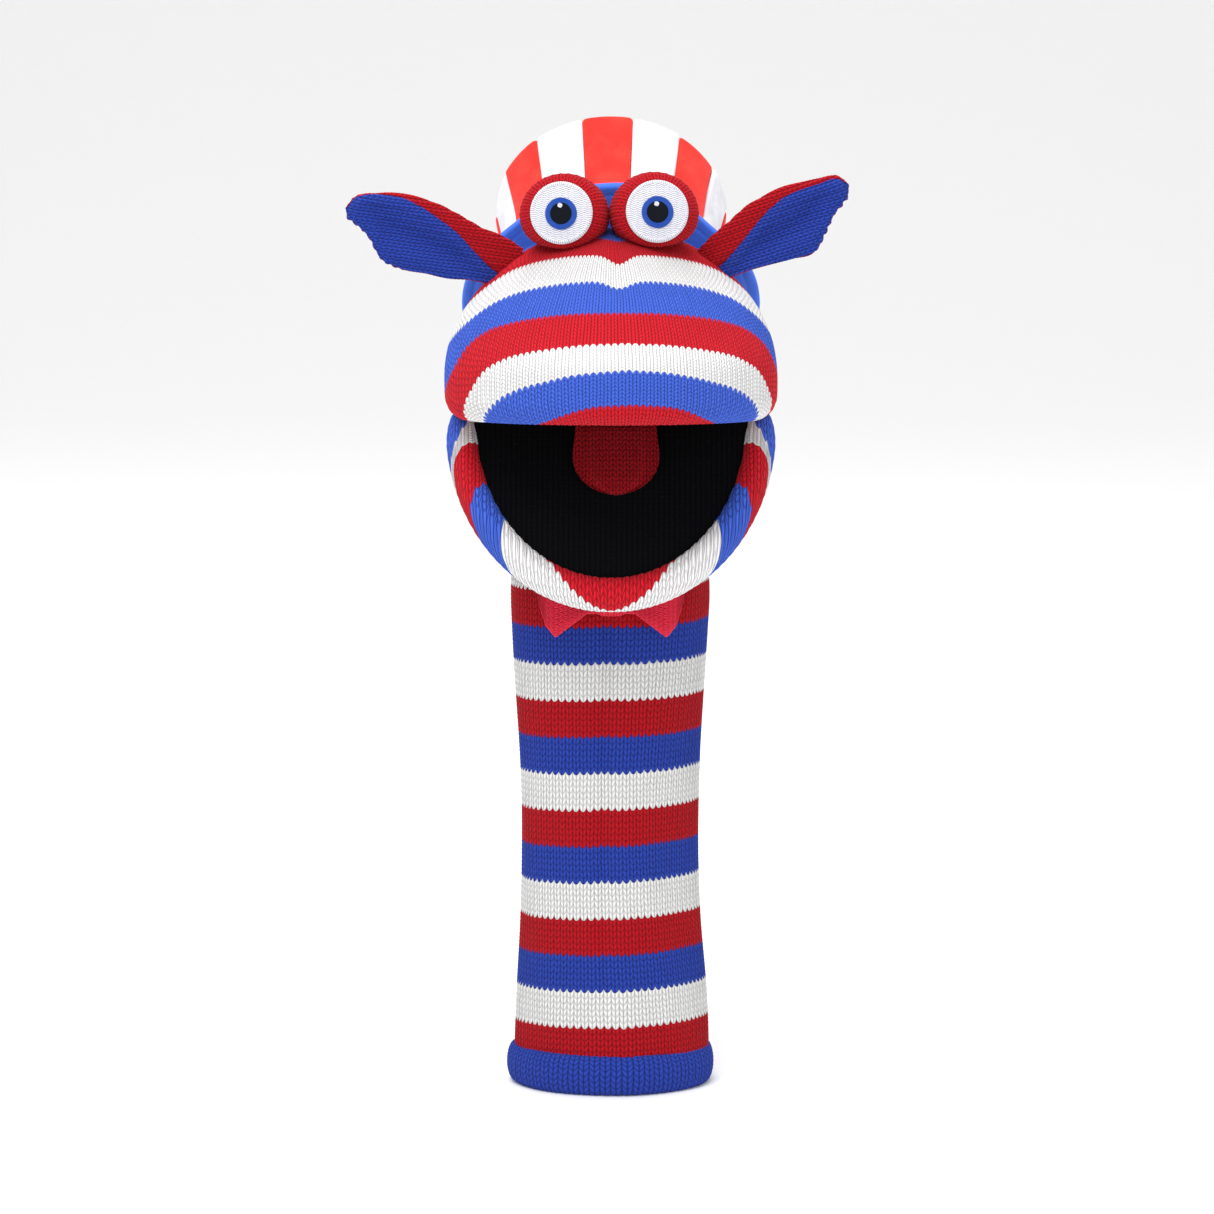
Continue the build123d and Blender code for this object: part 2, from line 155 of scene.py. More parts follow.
class Graph:
    """The node tree of one material."""

    def __init__(self, name: str) -> None:
        """Makes an empty material."""
        self.material = bpy.data.materials.new(name)
        self.material.use_nodes = True
        self.tree = self.material.node_tree
        self.tree.nodes.clear()

    def node(
        self, kind: str, settings: Optional[dict] = None, inputs: Optional[dict] = None
    ) -> Any:
        """Adds a node.

        Args:
            kind: The node's type.
            settings: Attributes that are set before the sockets.
            inputs: Values or links, by socket name or number.

        Returns:
            The node.
        """
        node = self.tree.nodes.new(kind)
        for key, value in (settings or {}).items():
            setattr(node, key, value)
        for key, value in (inputs or {}).items():
            if isinstance(value, Signal):
                value = value.socket
            if isinstance(value, bpy.types.NodeSocket):
                self.tree.links.new(value, node.inputs[key])
            else:
                node.inputs[key].default_value = value
        return node

    def mix(self, factor: Any, first: Any, second: Any) -> bpy.types.NodeSocket:
        """Mixes two colours.

        Args:
            factor: 0 for the first colour, 1 for the second.
            first: A colour or a socket.
            second: A colour or a socket.

        Returns:
            The mixed colour's socket.
        """
        full = [c + (1.0,) if isinstance(c, tuple) else c for c in (first, second)]
        node = self.node(
            "ShaderNodeMix", {"data_type": "RGBA"}, {0: factor, 6: full[0], 7: full[1]}
        )
        return node.outputs[2]

    def place(self) -> bpy.types.NodeSocket:
        """The object's own coordinates, in metres."""
        return self.node("ShaderNodeTexCoord").outputs["Object"]

    def stitch(self) -> tuple[Signal, Signal]:
        """The two stitch coordinates of a knitted or sewn surface."""
        cloth = self.node("ShaderNodeUVMap", {"uv_map": "Stitch"})
        parts = self.node("ShaderNodeSeparateXYZ", None, {0: cloth.outputs[0]})
        return Signal(self, parts.outputs[0]), Signal(self, parts.outputs[1])

    def noise(self, size: float, detail: float = 2.0) -> Signal:
        """Noise whose grains are about a given size.

        Args:
            size: Grain size in millimetres.
            detail: How many finer octaves it has.

        Returns:
            A signal about 0.5.
        """
        node = self.node(
            "ShaderNodeTexNoise",
            {"noise_dimensions": "3D"},
            {"Vector": self.place(), "Scale": 1000.0 / size, "Detail": detail, "Roughness": 0.6},
        )
        return Signal(self, node.outputs[0])

    def bump(self, height: Signal, depth: float) -> bpy.types.NodeSocket:
        """A normal from a height.

        Args:
            height: Height from 0 to 1.
            depth: What 1 stands for, in millimetres.

        Returns:
            The normal's socket.
        """
        node = self.node(
            "ShaderNodeBump", None, {"Strength": 1.0, "Distance": depth * MM, "Height": height}
        )
        return node.outputs[0]

    def finish(
        self, colour: Any, rough: Any, normal: Any = None, fixed: Optional[dict] = None
    ) -> bpy.types.Material:
        """Closes the tree with a Principled shader.

        Args:
            colour: Base colour, a value or a socket.
            rough: Roughness, a value or a signal.
            normal: A normal's socket.
            fixed: Constants for other sockets.

        Returns:
            The material.
        """
        values = {"Base Color": colour, "Roughness": rough}
        if normal is not None:
            values["Normal"] = normal
        values.update(fixed or {})
        shader = self.node("ShaderNodeBsdfPrincipled", None, values)
        self.node("ShaderNodeOutputMaterial", None, {"Surface": shader.outputs[0]})
        return self.material


# ---- finishes ---------------------------------------------------------------------------


@dataclass(frozen=True)
class Yarn:
    """One colour of yarn: its lit strands and the painted shade in the gaps between them."""

    strand: Colour
    gap: Colour


RED = Yarn((0.70, 0.012, 0.026), (0.24, 0.002, 0.006))
WHITE = Yarn((0.94, 0.93, 0.93), (0.52, 0.51, 0.52))
BLUE = Yarn((0.064, 0.150, 0.74), (0.016, 0.034, 0.25))
# darker copies of RED, WHITE and BLUE: painted shade for the sleeve, cuff and ears, against the
# brighter head
SHADED_RED = Yarn((0.47, 0.006, 0.013), (0.15, 0.001, 0.004))
SHADED_WHITE = Yarn((0.80, 0.80, 0.79), (0.46, 0.46, 0.46))
SHADED_BLUE = Yarn((0.024, 0.058, 0.40), (0.007, 0.015, 0.12))
DEEP_RED = Yarn((0.50, 0.006, 0.014), (0.14, 0.001, 0.004))
# the tongue's red yarn, darkened as painted shade inside the mouth
SHADED_TONGUE_RED = Yarn((0.38, 0.005, 0.011), (0.08, 0.001, 0.003))
ROSE = Yarn((0.86, 0.030, 0.065), (0.40, 0.008, 0.020))


@dataclass(frozen=True)
class Knit:
    """Plain knit: columns of V-shaped stitches in one colour or in bands of three."""

    name: str
    bands: tuple[Yarn, ...]
    lean: float = 0.55
    depth: float = 0.8
    courses_per_band: float = 6.0
    stitches_per_course: float = 1.5

    def material(self) -> bpy.types.Material:
        """Builds the knit from its stitch coordinates.

        Returns:
            The material.
        """
        g = Graph(self.name)
        wale, course = g.stitch()
        wander = (g.noise(9.0, 1.0) - 0.5) * 0.22
        across = ((wale + wander).fract() - 0.5).abs() * 2.0
        phase = course - across * across * self.lean + wander
        along = (phase * self.stitches_per_course).fract()
        centred = (across - 0.5).abs() * 2.0
        leg = (1.0 - centred * centred).clamp() ** 0.5
        bead = (along * math.pi).sine().clamp() ** 0.6
        height = (leg * (bead * 0.72 + 0.28)).clamp()
        twist = ((along * 2.0 + across * 3.0) * (2.0 * math.pi)).sine() * 0.5 + 0.5
        fibre = g.noise(0.35, 3.0)
        fuzz = g.noise(1.3, 3.0)
        lit = (height * 1.2 - 0.04 + (fibre - 0.5) * 0.6 + (fuzz - 0.5) * 0.35).clamp()
        strand: Any = self.bands[0].strand
        gap: Any = self.bands[0].gap
        if len(self.bands) > 1:
            number = (phase / self.courses_per_band).floor().wrap(float(len(self.bands)))
            for index, yarn in enumerate(self.bands[1:], start=1):
                chosen = number.above(index - 0.5)
                strand = g.mix(chosen, strand, yarn.strand)
                gap = g.mix(chosen, gap, yarn.gap)
        # painted shade: grooves between stitches take the dark gap colour and raised tops the lit
        # strand colour; fibre noise adds random tone
        colour = g.mix(lit, gap, strand)
        rough = fibre * 0.15 + 0.78
        relief = height * 0.86 + twist * height * 0.08 + fibre * 0.12
        fixed = {
            "Sheen Weight": 0.03,
            "Sheen Roughness": 0.55,
            "Specular IOR Level": 0.08,
        }
        return g.finish(colour, rough, g.bump(relief, self.depth), fixed)


@dataclass(frozen=True)
class Velour:
    """Short brushed pile with a soft mottle."""

    name: str
    colour: Colour
    shade: Colour

    def material(self) -> bpy.types.Material:
        """Builds the pile."""
        g = Graph(self.name)
        pile = g.noise(0.5, 3.0)
        brushed = g.noise(11.0, 3.0)
        mark = ((brushed - 0.42) * 3.0 + (pile - 0.5) * 0.9).clamp()
        colour = g.mix(mark, self.shade, self.colour)
        height = pile * 0.7 + brushed * 0.3
        fixed = {"Sheen Weight": 0.10, "Sheen Roughness": 0.4, "Specular IOR Level": 0.2}
        return g.finish(colour, pile * 0.12 + 0.82, g.bump(height, 0.28), fixed)


@dataclass(frozen=True)
class Felt:
    """Smooth felt with fine matted fibres."""

    name: str
    colour: Colour
    shade: Colour

    def material(self) -> bpy.types.Material:
        """Builds the felt."""
        g = Graph(self.name)
        fine = g.noise(0.45, 4.0)
        broad = g.noise(7.0, 3.0)
        mark = ((fine - 0.5) * 1.2 + (broad - 0.5) * 1.0 + 0.6).clamp()
        colour = g.mix(mark, self.shade, self.colour)
        fixed = {"Sheen Weight": 0.08, "Sheen Roughness": 0.5, "Specular IOR Level": 0.25}
        return g.finish(colour, fine * 0.1 + 0.78, g.bump(fine * 0.8 + broad * 0.2, 0.3), fixed)


@dataclass(frozen=True)
class Ribbing:
    """Dark fine ribbed lining."""

    name: str
    colour: Colour
    glint: Colour

    def material(self) -> bpy.types.Material:
        """Builds the ribs from the stitch coordinates."""
        g = Graph(self.name)
        wale, course = g.stitch()
        rib = ((wale.fract() - 0.5).abs() * 2.0) ** 2.0
        step = (course.fract() * math.pi).sine().clamp()
        height = (1.0 - rib) * (step * 0.3 + 0.7)
        fibre = g.noise(0.5, 3.0)
        colour = g.mix((height * 0.55 + (fibre - 0.5) * 0.6).clamp(), self.colour, self.glint)
        fixed = {"Specular IOR Level": 0.06}
        return g.finish(colour, fibre * 0.1 + 0.85, g.bump(height, 0.4), fixed)


class Stitching(Enum):
    """How an embroidered area is filled."""

    ROWS = "rows"
    RADIAL = "radial"
    UPRIGHT = "upright"


@dataclass(frozen=True)
class Embroidery:
    """Satin stitches: threads side by side, as rows, rays or upright lines."""

    name: str
    thread: Colour
    shade: Colour
    pattern: Stitching
    rim: float = 0.0
    pitch: float = 0.85

    def material(self) -> bpy.types.Material:
        """Builds the threads; the stitch coordinates are millimetres from the middle.

        Returns:
            The material.
        """
        g = Graph(self.name)
        x, y = g.stitch()
        radius = (x * x + y * y) ** 0.5
        angle = Signal(
            g, g.node("ShaderNodeMath", {"operation": "ARCTAN2"}, {0: y, 1: x}).outputs[0]
        )
        wobble = (g.noise(1.6, 1.0) - 0.5) * 0.5
        rows = ((y + wobble * 0.3 + (x * 2.6).sine() * 0.25) / self.pitch).fract()
        band = ((x + (y * 0.8).sine() * 0.3) / 2.6).fract()
        rays = (angle * 26.0 + wobble).fract()
        lines = ((x + wobble * 0.2) / self.pitch * 2.0).fract()
        if self.pattern is Stitching.RADIAL:
            thread = (rays * math.pi).sine().clamp()
        elif self.pattern is Stitching.UPRIGHT:
            thread = (lines * math.pi).sine().clamp()
        else:
            ends = ((band - 0.5).abs() * 2.0) ** 6.0
            thread = (rows * math.pi).sine().clamp() * (1.0 - ends * 0.35)
            if self.rim > 0.0:
                edge = radius.above(self.rim)
                ray = ((angle * 14.0 + wobble).fract() * math.pi).sine().clamp()
                thread = thread * (1.0 - edge) + ray * edge
        height = thread ** 0.7
        fibre = g.noise(0.4, 2.0)
        colour = g.mix((height * 0.85 + fibre * 0.35).clamp(), self.shade, self.thread)
        fixed = {"Specular IOR Level": 0.15}
        return g.finish(colour, 0.62 - thread * 0.1, g.bump(height, 0.3), fixed)


@dataclass(frozen=True)
class PlainWeave:
    """Plain woven cloth or pressed board, for the pieces inside."""

    name: str
    colour: Colour
    shade: Colour
    pitch: float = 0.6

    def material(self) -> bpy.types.Material:
        """Builds crossed threads on the piece's own coordinates."""
        g = Graph(self.name)
        parts = g.node("ShaderNodeSeparateXYZ", None, {0: g.place()})
        x, y, z = (Signal(g, parts.outputs[i]) for i in range(3))
        turn = 2.0 * math.pi / (self.pitch * MM)
        weft = (x * turn).sine() * ((y + z) * turn).sine() * 0.5 + 0.5
        fleck = g.noise(0.8, 3.0)
        colour = g.mix((weft * 0.5 + fleck * 0.5).clamp(), self.shade, self.colour)
        return g.finish(colour, fleck * 0.1 + 0.8, g.bump(weft * 0.5 + fleck * 0.5, 0.15))


@dataclass(frozen=True)
class Backdrop:
    """Pale studio paper with a faint painted glow."""

    name: str = "studio_paper"

    def material(self) -> bpy.types.Material:
        """Builds the paper."""
        g = Graph(self.name)
        grain = g.noise(3.0, 2.0)
        colour = g.mix(grain, (0.93, 0.93, 0.93), (0.95, 0.95, 0.95))
        # painted light: a faint white glow on the paper, which is no lamp
        fixed = {"Emission Color": (1.0, 1.0, 1.0, 1.0), "Emission Strength": 0.05}
        return g.finish(colour, 0.9, None, fixed)


class Wardrobe:
    """Makes each finish once and hands it out."""

    def __init__(self) -> None:
        """Lists the finishes of the puppet."""
        finishes = (
            Knit("face_knit", (WHITE, BLUE, RED)),
            Knit("sleeve_knit", (SHADED_WHITE, SHADED_BLUE, SHADED_RED), 0.6, stitches_per_course=1.0),
            Knit("blue_knit", (SHADED_BLUE,), 0.8, stitches_per_course=1.0),
            Knit("red_knit", (SHADED_RED,), 0.8, stitches_per_course=1.0),
            Knit("tongue_knit", (SHADED_TONGUE_RED,), 0.8, stitches_per_course=1.0),
            Knit("eye_knit", (DEEP_RED,), 0.8, 0.5, stitches_per_course=1.0),
            Knit("rose_knit", (ROSE,), depth=0.6, stitches_per_course=1.0),
            Velour("red_velour", (0.94, 0.050, 0.032), (0.80, 0.026, 0.018)),
            Velour("white_velour", (0.88, 0.88, 0.90), (0.72, 0.72, 0.76)),
            Felt("blue_felt", (0.060, 0.19, 0.84), (0.040, 0.13, 0.66)),
            Ribbing("black_ribbing", (0.0014, 0.0015, 0.0020), (0.0050, 0.0052, 0.0065)),
            Embroidery(
                "white_thread", (0.80, 0.80, 0.86), (0.26, 0.26, 0.34), Stitching.ROWS, 11.0
            ),
            Embroidery("blue_thread", (0.035, 0.13, 0.66), (0.010, 0.035, 0.26), Stitching.RADIAL),
            Embroidery(
                "black_thread", (0.004, 0.006, 0.012), (0.001, 0.002, 0.004), Stitching.UPRIGHT
            ),
            PlainWeave("lining_cotton", (0.84, 0.83, 0.80), (0.66, 0.65, 0.62)),
            PlainWeave("grey_board", (0.46, 0.40, 0.31), (0.36, 0.30, 0.22), 1.4),
            Backdrop(),
        )
        self.materials = {finish.name: finish.material() for finish in finishes}

    def __getitem__(self, name: str) -> bpy.types.Material:
        """One finish by name."""
        return self.materials[name]


# ---- making pieces ----------------------------------------------------------------------


def points(x: Array, y: Array, z: Array) -> Array:
    """Stacks three coordinates into points."""
    return np.stack(np.broadcast_arrays(x, y, z), axis=1)


def ease(low: float, high: float, value: Array) -> Array:
    """A smooth step from 0 at low to 1 at high."""
    t = np.clip((np.asarray(value, float) - low) / (high - low), 0.0, 1.0)
    return t * t * (3.0 - 2.0 * t)


def follow(knots: Sequence[float], values: Sequence[float], at: Array) -> Array:
    """A smooth curve through given values.

    Args:
        knots: Where the values stand, rising.
        values: The values there.
        at: Where the curve is read.

    Returns:
        The curve at those places.
    """
    k = np.asarray(knots, float)
    y = np.asarray(values, float)
    slope = np.gradient(y, k)
    at = np.clip(at, k[0], k[-1])
    i = np.clip(np.searchsorted(k, at) - 1, 0, len(k) - 2)
    step = k[i + 1] - k[i]
    t = (at - k[i]) / step
    a = 2 * t**3 - 3 * t**2 + 1
    b = t**3 - 2 * t**2 + t
    c = -2 * t**3 + 3 * t**2
    d = t**3 - t**2
    return a * y[i] + b * step * slope[i] + c * y[i + 1] + d * step * slope[i + 1]


def rib_relief(wale: Array, course: Array, height: float = 0.34) -> Array:
    """How far a knit stands out at its stitch coordinates.

    Args:
        wale: Columns of stitches.
        course: Rows of stitches.
        height: Height of a column over the groove beside it.

    Returns:
        Heights in millimetres.
    """
    across = np.abs((wale % 1.0) - 0.5) * 2.0
    return height * (1.0 - across**2) + 0.06 * np.sin(3 * np.pi * course)


@dataclass
class Sewing:
    """One surface that is laid out on a grid and shaped, with its stitches."""

    name: str
    columns: int
    rows: int
    shape: Shape
    stitch: Callable[[Array, Array], tuple[Array, Array]]
    relief: Optional[Callable[[Array, Array], Array]] = None
    joined: bool = False
    solid: bool = False
    turned: bool = False

    def _outward(self, u: Array, v: Array) -> Array:
        """Unit normals of the shape."""
        e = 2e-4
        du = self.shape(np.clip(u + e, 0, 1), v) - self.shape(np.clip(u - e, 0, 1), v)
        dv = self.shape(u, np.clip(v + e, 0, 1)) - self.shape(u, np.clip(v - e, 0, 1))
        normal = np.cross(du, dv)
        length = np.linalg.norm(normal, axis=1, keepdims=True)
        return normal / np.maximum(length, 1e-12) * (length > 1e-10)

    def make(self) -> bpy.types.Object:
        """Makes the mesh.

        Returns:
            The object, at the origin, with its place in its mesh.
        """
        bm = bmesh.new()
        bmesh.ops.create_grid(bm, x_segments=self.columns, y_segments=self.rows, size=1.0)
        mesh = bpy.data.meshes.new(self.name)
        bm.to_mesh(mesh)
        bm.free()
        flat = np.empty(len(mesh.vertices) * 3)
        mesh.vertices.foreach_get("co", flat)
        grid = flat.reshape(-1, 3)
        u = (grid[:, 0] + 1) / 2
        v = (grid[:, 1] + 1) / 2
        place = self.shape(u, v)
        if self.relief is not None:
            sign = -1.0 if self.turned else 1.0
            place = place + sign * self._outward(u, v) * self.relief(u, v)[:, None]
        mesh.vertices.foreach_set("co", (place * MM).ravel())
        corner = np.empty(len(mesh.loops), dtype=np.int32)
        mesh.loops.foreach_get("vertex_index", corner)
        across, along = self.stitch(u, v)
        cloth = mesh.uv_layers.new(name="Stitch")
        cloth.data.foreach_set("uv", np.stack([across[corner], along[corner]], axis=1).ravel())
        bm = bmesh.new()
        bm.from_mesh(mesh)
        if self.joined:
            bmesh.ops.remove_doubles(bm, verts=bm.verts, dist=2e-6)
        if self.solid:
            bmesh.ops.recalc_face_normals(bm, faces=bm.faces)
        elif self.turned:
            bmesh.ops.reverse_faces(bm, faces=bm.faces)
        for face in bm.faces:
            face.smooth = True
        bm.to_mesh(mesh)
        bm.free()
        mesh.update()
        piece = bpy.data.objects.new(self.name, mesh)
        bpy.context.scene.collection.objects.link(piece)
        return piece


class Maker:
    """Shared steps of every sub-assembly: finish, node and body of a piece."""

    def __init__(self, wardrobe: Wardrobe) -> None:
        """Keeps the finishes."""
        self.wardrobe = wardrobe

    def dress(
        self,
        piece: bpy.types.Object,
        finish: str,
        slot: str,
        body: Optional[str] = None,
        nodes: Sequence[str] = (),
    ) -> bpy.types.Object:
        """Gives a piece its finish and its place in the frame.

        Args:
            piece: The piece.
            finish: Name of the finish.
            slot: Material slot of the record; not used.
            body: The body that it rides on, or None where it is blended.
            nodes: The frame's nodes that it stands for.

        Returns:
            The piece.
        """
        piece.data.materials.clear()
        piece.data.materials.append(self.wardrobe[finish])
        if body is not None:
            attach(piece, body)
        if nodes:
            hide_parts(*nodes)
        log.info("%s: %s, %d faces", piece.name, finish, len(piece.data.polygons))
        return piece

    def keep(self, node: str, finish: str) -> None:
        """Gives a node of the frame a finish and leaves it as it is."""
        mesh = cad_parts[node].data
        mesh.materials.clear()
        mesh.materials.append(self.wardrobe[finish])


# ---- sleeve -----------------------------------------------------------------------------


class Sleeve(Maker):
    """The cuff, the knitted tube in three stretches and the skirt inside the head."""

    wales: int = 78
    course_height: float = 15.2 / 6.0
    first_border: float = 28.2
    half_width: float = 38.0
    half_depth: float = 24.0
    levels: Sequence[float] = (0, 16, 40, 70, 103, 140, 165, 190, 205, 222, 240, 255, 270, 285, 300)
    widths: Sequence[float] = (
        40.5, 40.5, 39.5, 37.5, 36.6, 37.3, 38.8, 40.2, 40.8, 40.2, 39.4, 41.0, 45.0, 49.5, 52.0,
    )
    depths: Sequence[float] = (
        25, 25, 24.6, 24, 23.8, 24, 24.4, 24.8, 25, 24.8, 24.6, 25.2, 26.6, 28.2, 29.5,
    )
    shifts: Sequence[float] = (0.6, 0.6, 0.2, -0.6, -1.2, -1.0, -0.6, -0.2, 0, 0, 0, 0, 0, 0, 0)

    def wall(self, phi: Array, z: Array) -> Array:
        """A point of the tube's outside.

        Args:
            phi: Angle from the front towards +X.
            z: Height.

        Returns:
            Points in millimetres.
        """
        fuller = 1.0 + 0.022 * np.sin(2 * phi) ** 2
        folds = 0.55 * np.sin(3 * phi + z / 38.0 + 0.6) + 0.4 * np.sin(5 * phi - z / 61.0 + 2.0)
        folds = folds + 0.25 * np.sin(9 * phi + z / 23.0) * np.sin(z / 47.0)
        crease = np.exp(-(((np.degrees(phi) + 4.0) / 5.0) ** 2)) * ease(20.0, 45.0, z)
        folds = folds - 1.5 * crease + 0.5 * np.exp(-(((np.degrees(phi) - 9.0) / 6.0) ** 2))
        half = (follow(self.levels, self.widths, z) - 0.4) * fuller + folds
        deep = (follow(self.levels, self.depths, z) - 0.4) * fuller + folds
        shift = follow(self.levels, self.shifts, z)
        return points(shift + half * np.sin(phi), -deep * np.cos(phi), z)

    def stretch(self, name: str, low: float, high: float) -> bpy.types.Object:
        """One stretch of the tube between two heights.

        Args:
            name: Piece name.
            low: Lower end.
            high: Upper end.

        Returns:
            The piece.
        """
        rows = max(8, int((high - low) / self.course_height * 3))

        def angle(u: Array) -> Array:
            """The angle round the piece at u, in radians."""
            return (u * 2 - 1) * math.pi

        def shape(u: Array, v: Array) -> Array:
            """The places of the points at u and v."""
            return self.wall(angle(u), low + v * (high - low))

        def stitch(u: Array, v: Array) -> tuple[Array, Array]:
            """The cloth's own coordinates at u and v."""
            z = low + v * (high - low)
            x = self.half_width * np.sin(angle(u))
            return u * self.wales, (z - 0.03 * x - self.first_border) / self.course_height

        def relief(u: Array, v: Array) -> Array:
            """How far the stitches stand out at u and v."""
            return rib_relief(*stitch(u, v))

        sewn = Sewing(name, self.wales * 3, rows, shape, stitch, relief, joined=True)
        return sewn.make()

    def cuff(self) -> bpy.types.Object:
        """The rolled hem at the sleeve's lower end."""
        steps = (0.0, 0.16, 0.3, 0.38, 0.46, 0.56, 0.66, 0.76, 0.86, 0.93, 1.0)
        out = (-2.0, -2.2, -1.6, 0.8, 3.0, 4.2, 4.5, 4.2, 3.4, 2.4, 0.9)
        rise = (15.4, 8.0, 1.6, 0.15, 1.5, 4.8, 8.4, 11.8, 14.6, 16.0, 16.6)
        run = (0.0, 3.2, 6.0, 7.2, 8.4, 9.9, 11.5, 13.0, 14.6, 15.6, 16.6)

        def angle(u: Array) -> Array:
            """The angle round the piece at u, in radians."""
            return (u * 2 - 1) * math.pi

        def shape(u: Array, v: Array) -> Array:
            """The places of the points at u and v."""
            phi = angle(u)
            wave = 0.3 * np.sin(4 * phi + 1.0) + 0.25 * np.sin(7 * phi)
            grown = follow(steps, out, v) + wave * ease(0.3, 0.6, v)
            return points(
                (self.half_width + grown) * np.sin(phi),
                -(self.half_depth + grown) * np.cos(phi),
                follow(steps, rise, v),
            )

        def stitch(u: Array, v: Array) -> tuple[Array, Array]:
            """The cloth's own coordinates at u and v."""
            return u * 58.0, follow(steps, run, v) / 1.05

        def relief(u: Array, v: Array) -> Array:
            """How far the stitches stand out at u and v."""
            return rib_relief(*stitch(u, v), height=0.3) * ease(0.25, 0.4, v)

        sewn = Sewing("cuff", 58 * 5, 72, shape, stitch, relief, joined=True)
        piece = self.dress(sewn.make(), "blue_knit", "knit_blue", "sleeve", ["cuff_hem"])
        return piece

    def build(self) -> None:
        """Builds the cuff and the tube."""
        self.cuff()
        for name, low, high, pair, start, end, node in (
            ("sleeve_forearm", 15.5, 150.0, ("sleeve", "wrist"), 0.040, 0.140, "forearm_tube"),
            ("sleeve_wrist", 150.0, 205.0, ("wrist", "neck"), 0.155, 0.200, "wrist_tube"),
            ("sleeve_neck", 205.0, 238.0, ("neck", "head"), 0.207, 0.236, "neck_tube"),
        ):
            piece = self.stretch(name, low, high)
            self.dress(piece, "sleeve_knit", "knit_striped", None, [node])
            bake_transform(piece)
        piece = self.stretch("head_neck", 238.0, 297.0)
        self.dress(piece, "sleeve_knit", "knit_striped", "head", ["head_skirt"])


# ---- head -------------------------------------------------------------------------------


@dataclass
class MouthFrame:
    """A frame on the mouth's hinge line, along a mouth plate and off it."""

    angle: float
    jaw: bool

    def place(self, x: Array, along: Array, off: Array) -> Array:
        """Points from distances along the plate and away from it."""
        a = math.radians(self.angle)
        if self.jaw:
            y = -38 - along * math.cos(a) + off * math.sin(a)
            z = 283 - along * math.sin(a) - off * math.cos(a)
        else:
            y = -38 - along * math.cos(a) + off * math.sin(a)
            z = 283 + along * math.sin(a) + off * math.cos(a)
        return points(x, y, z)


HEAD = MouthFrame(5.5, False)
JAW = MouthFrame(64.4, True)


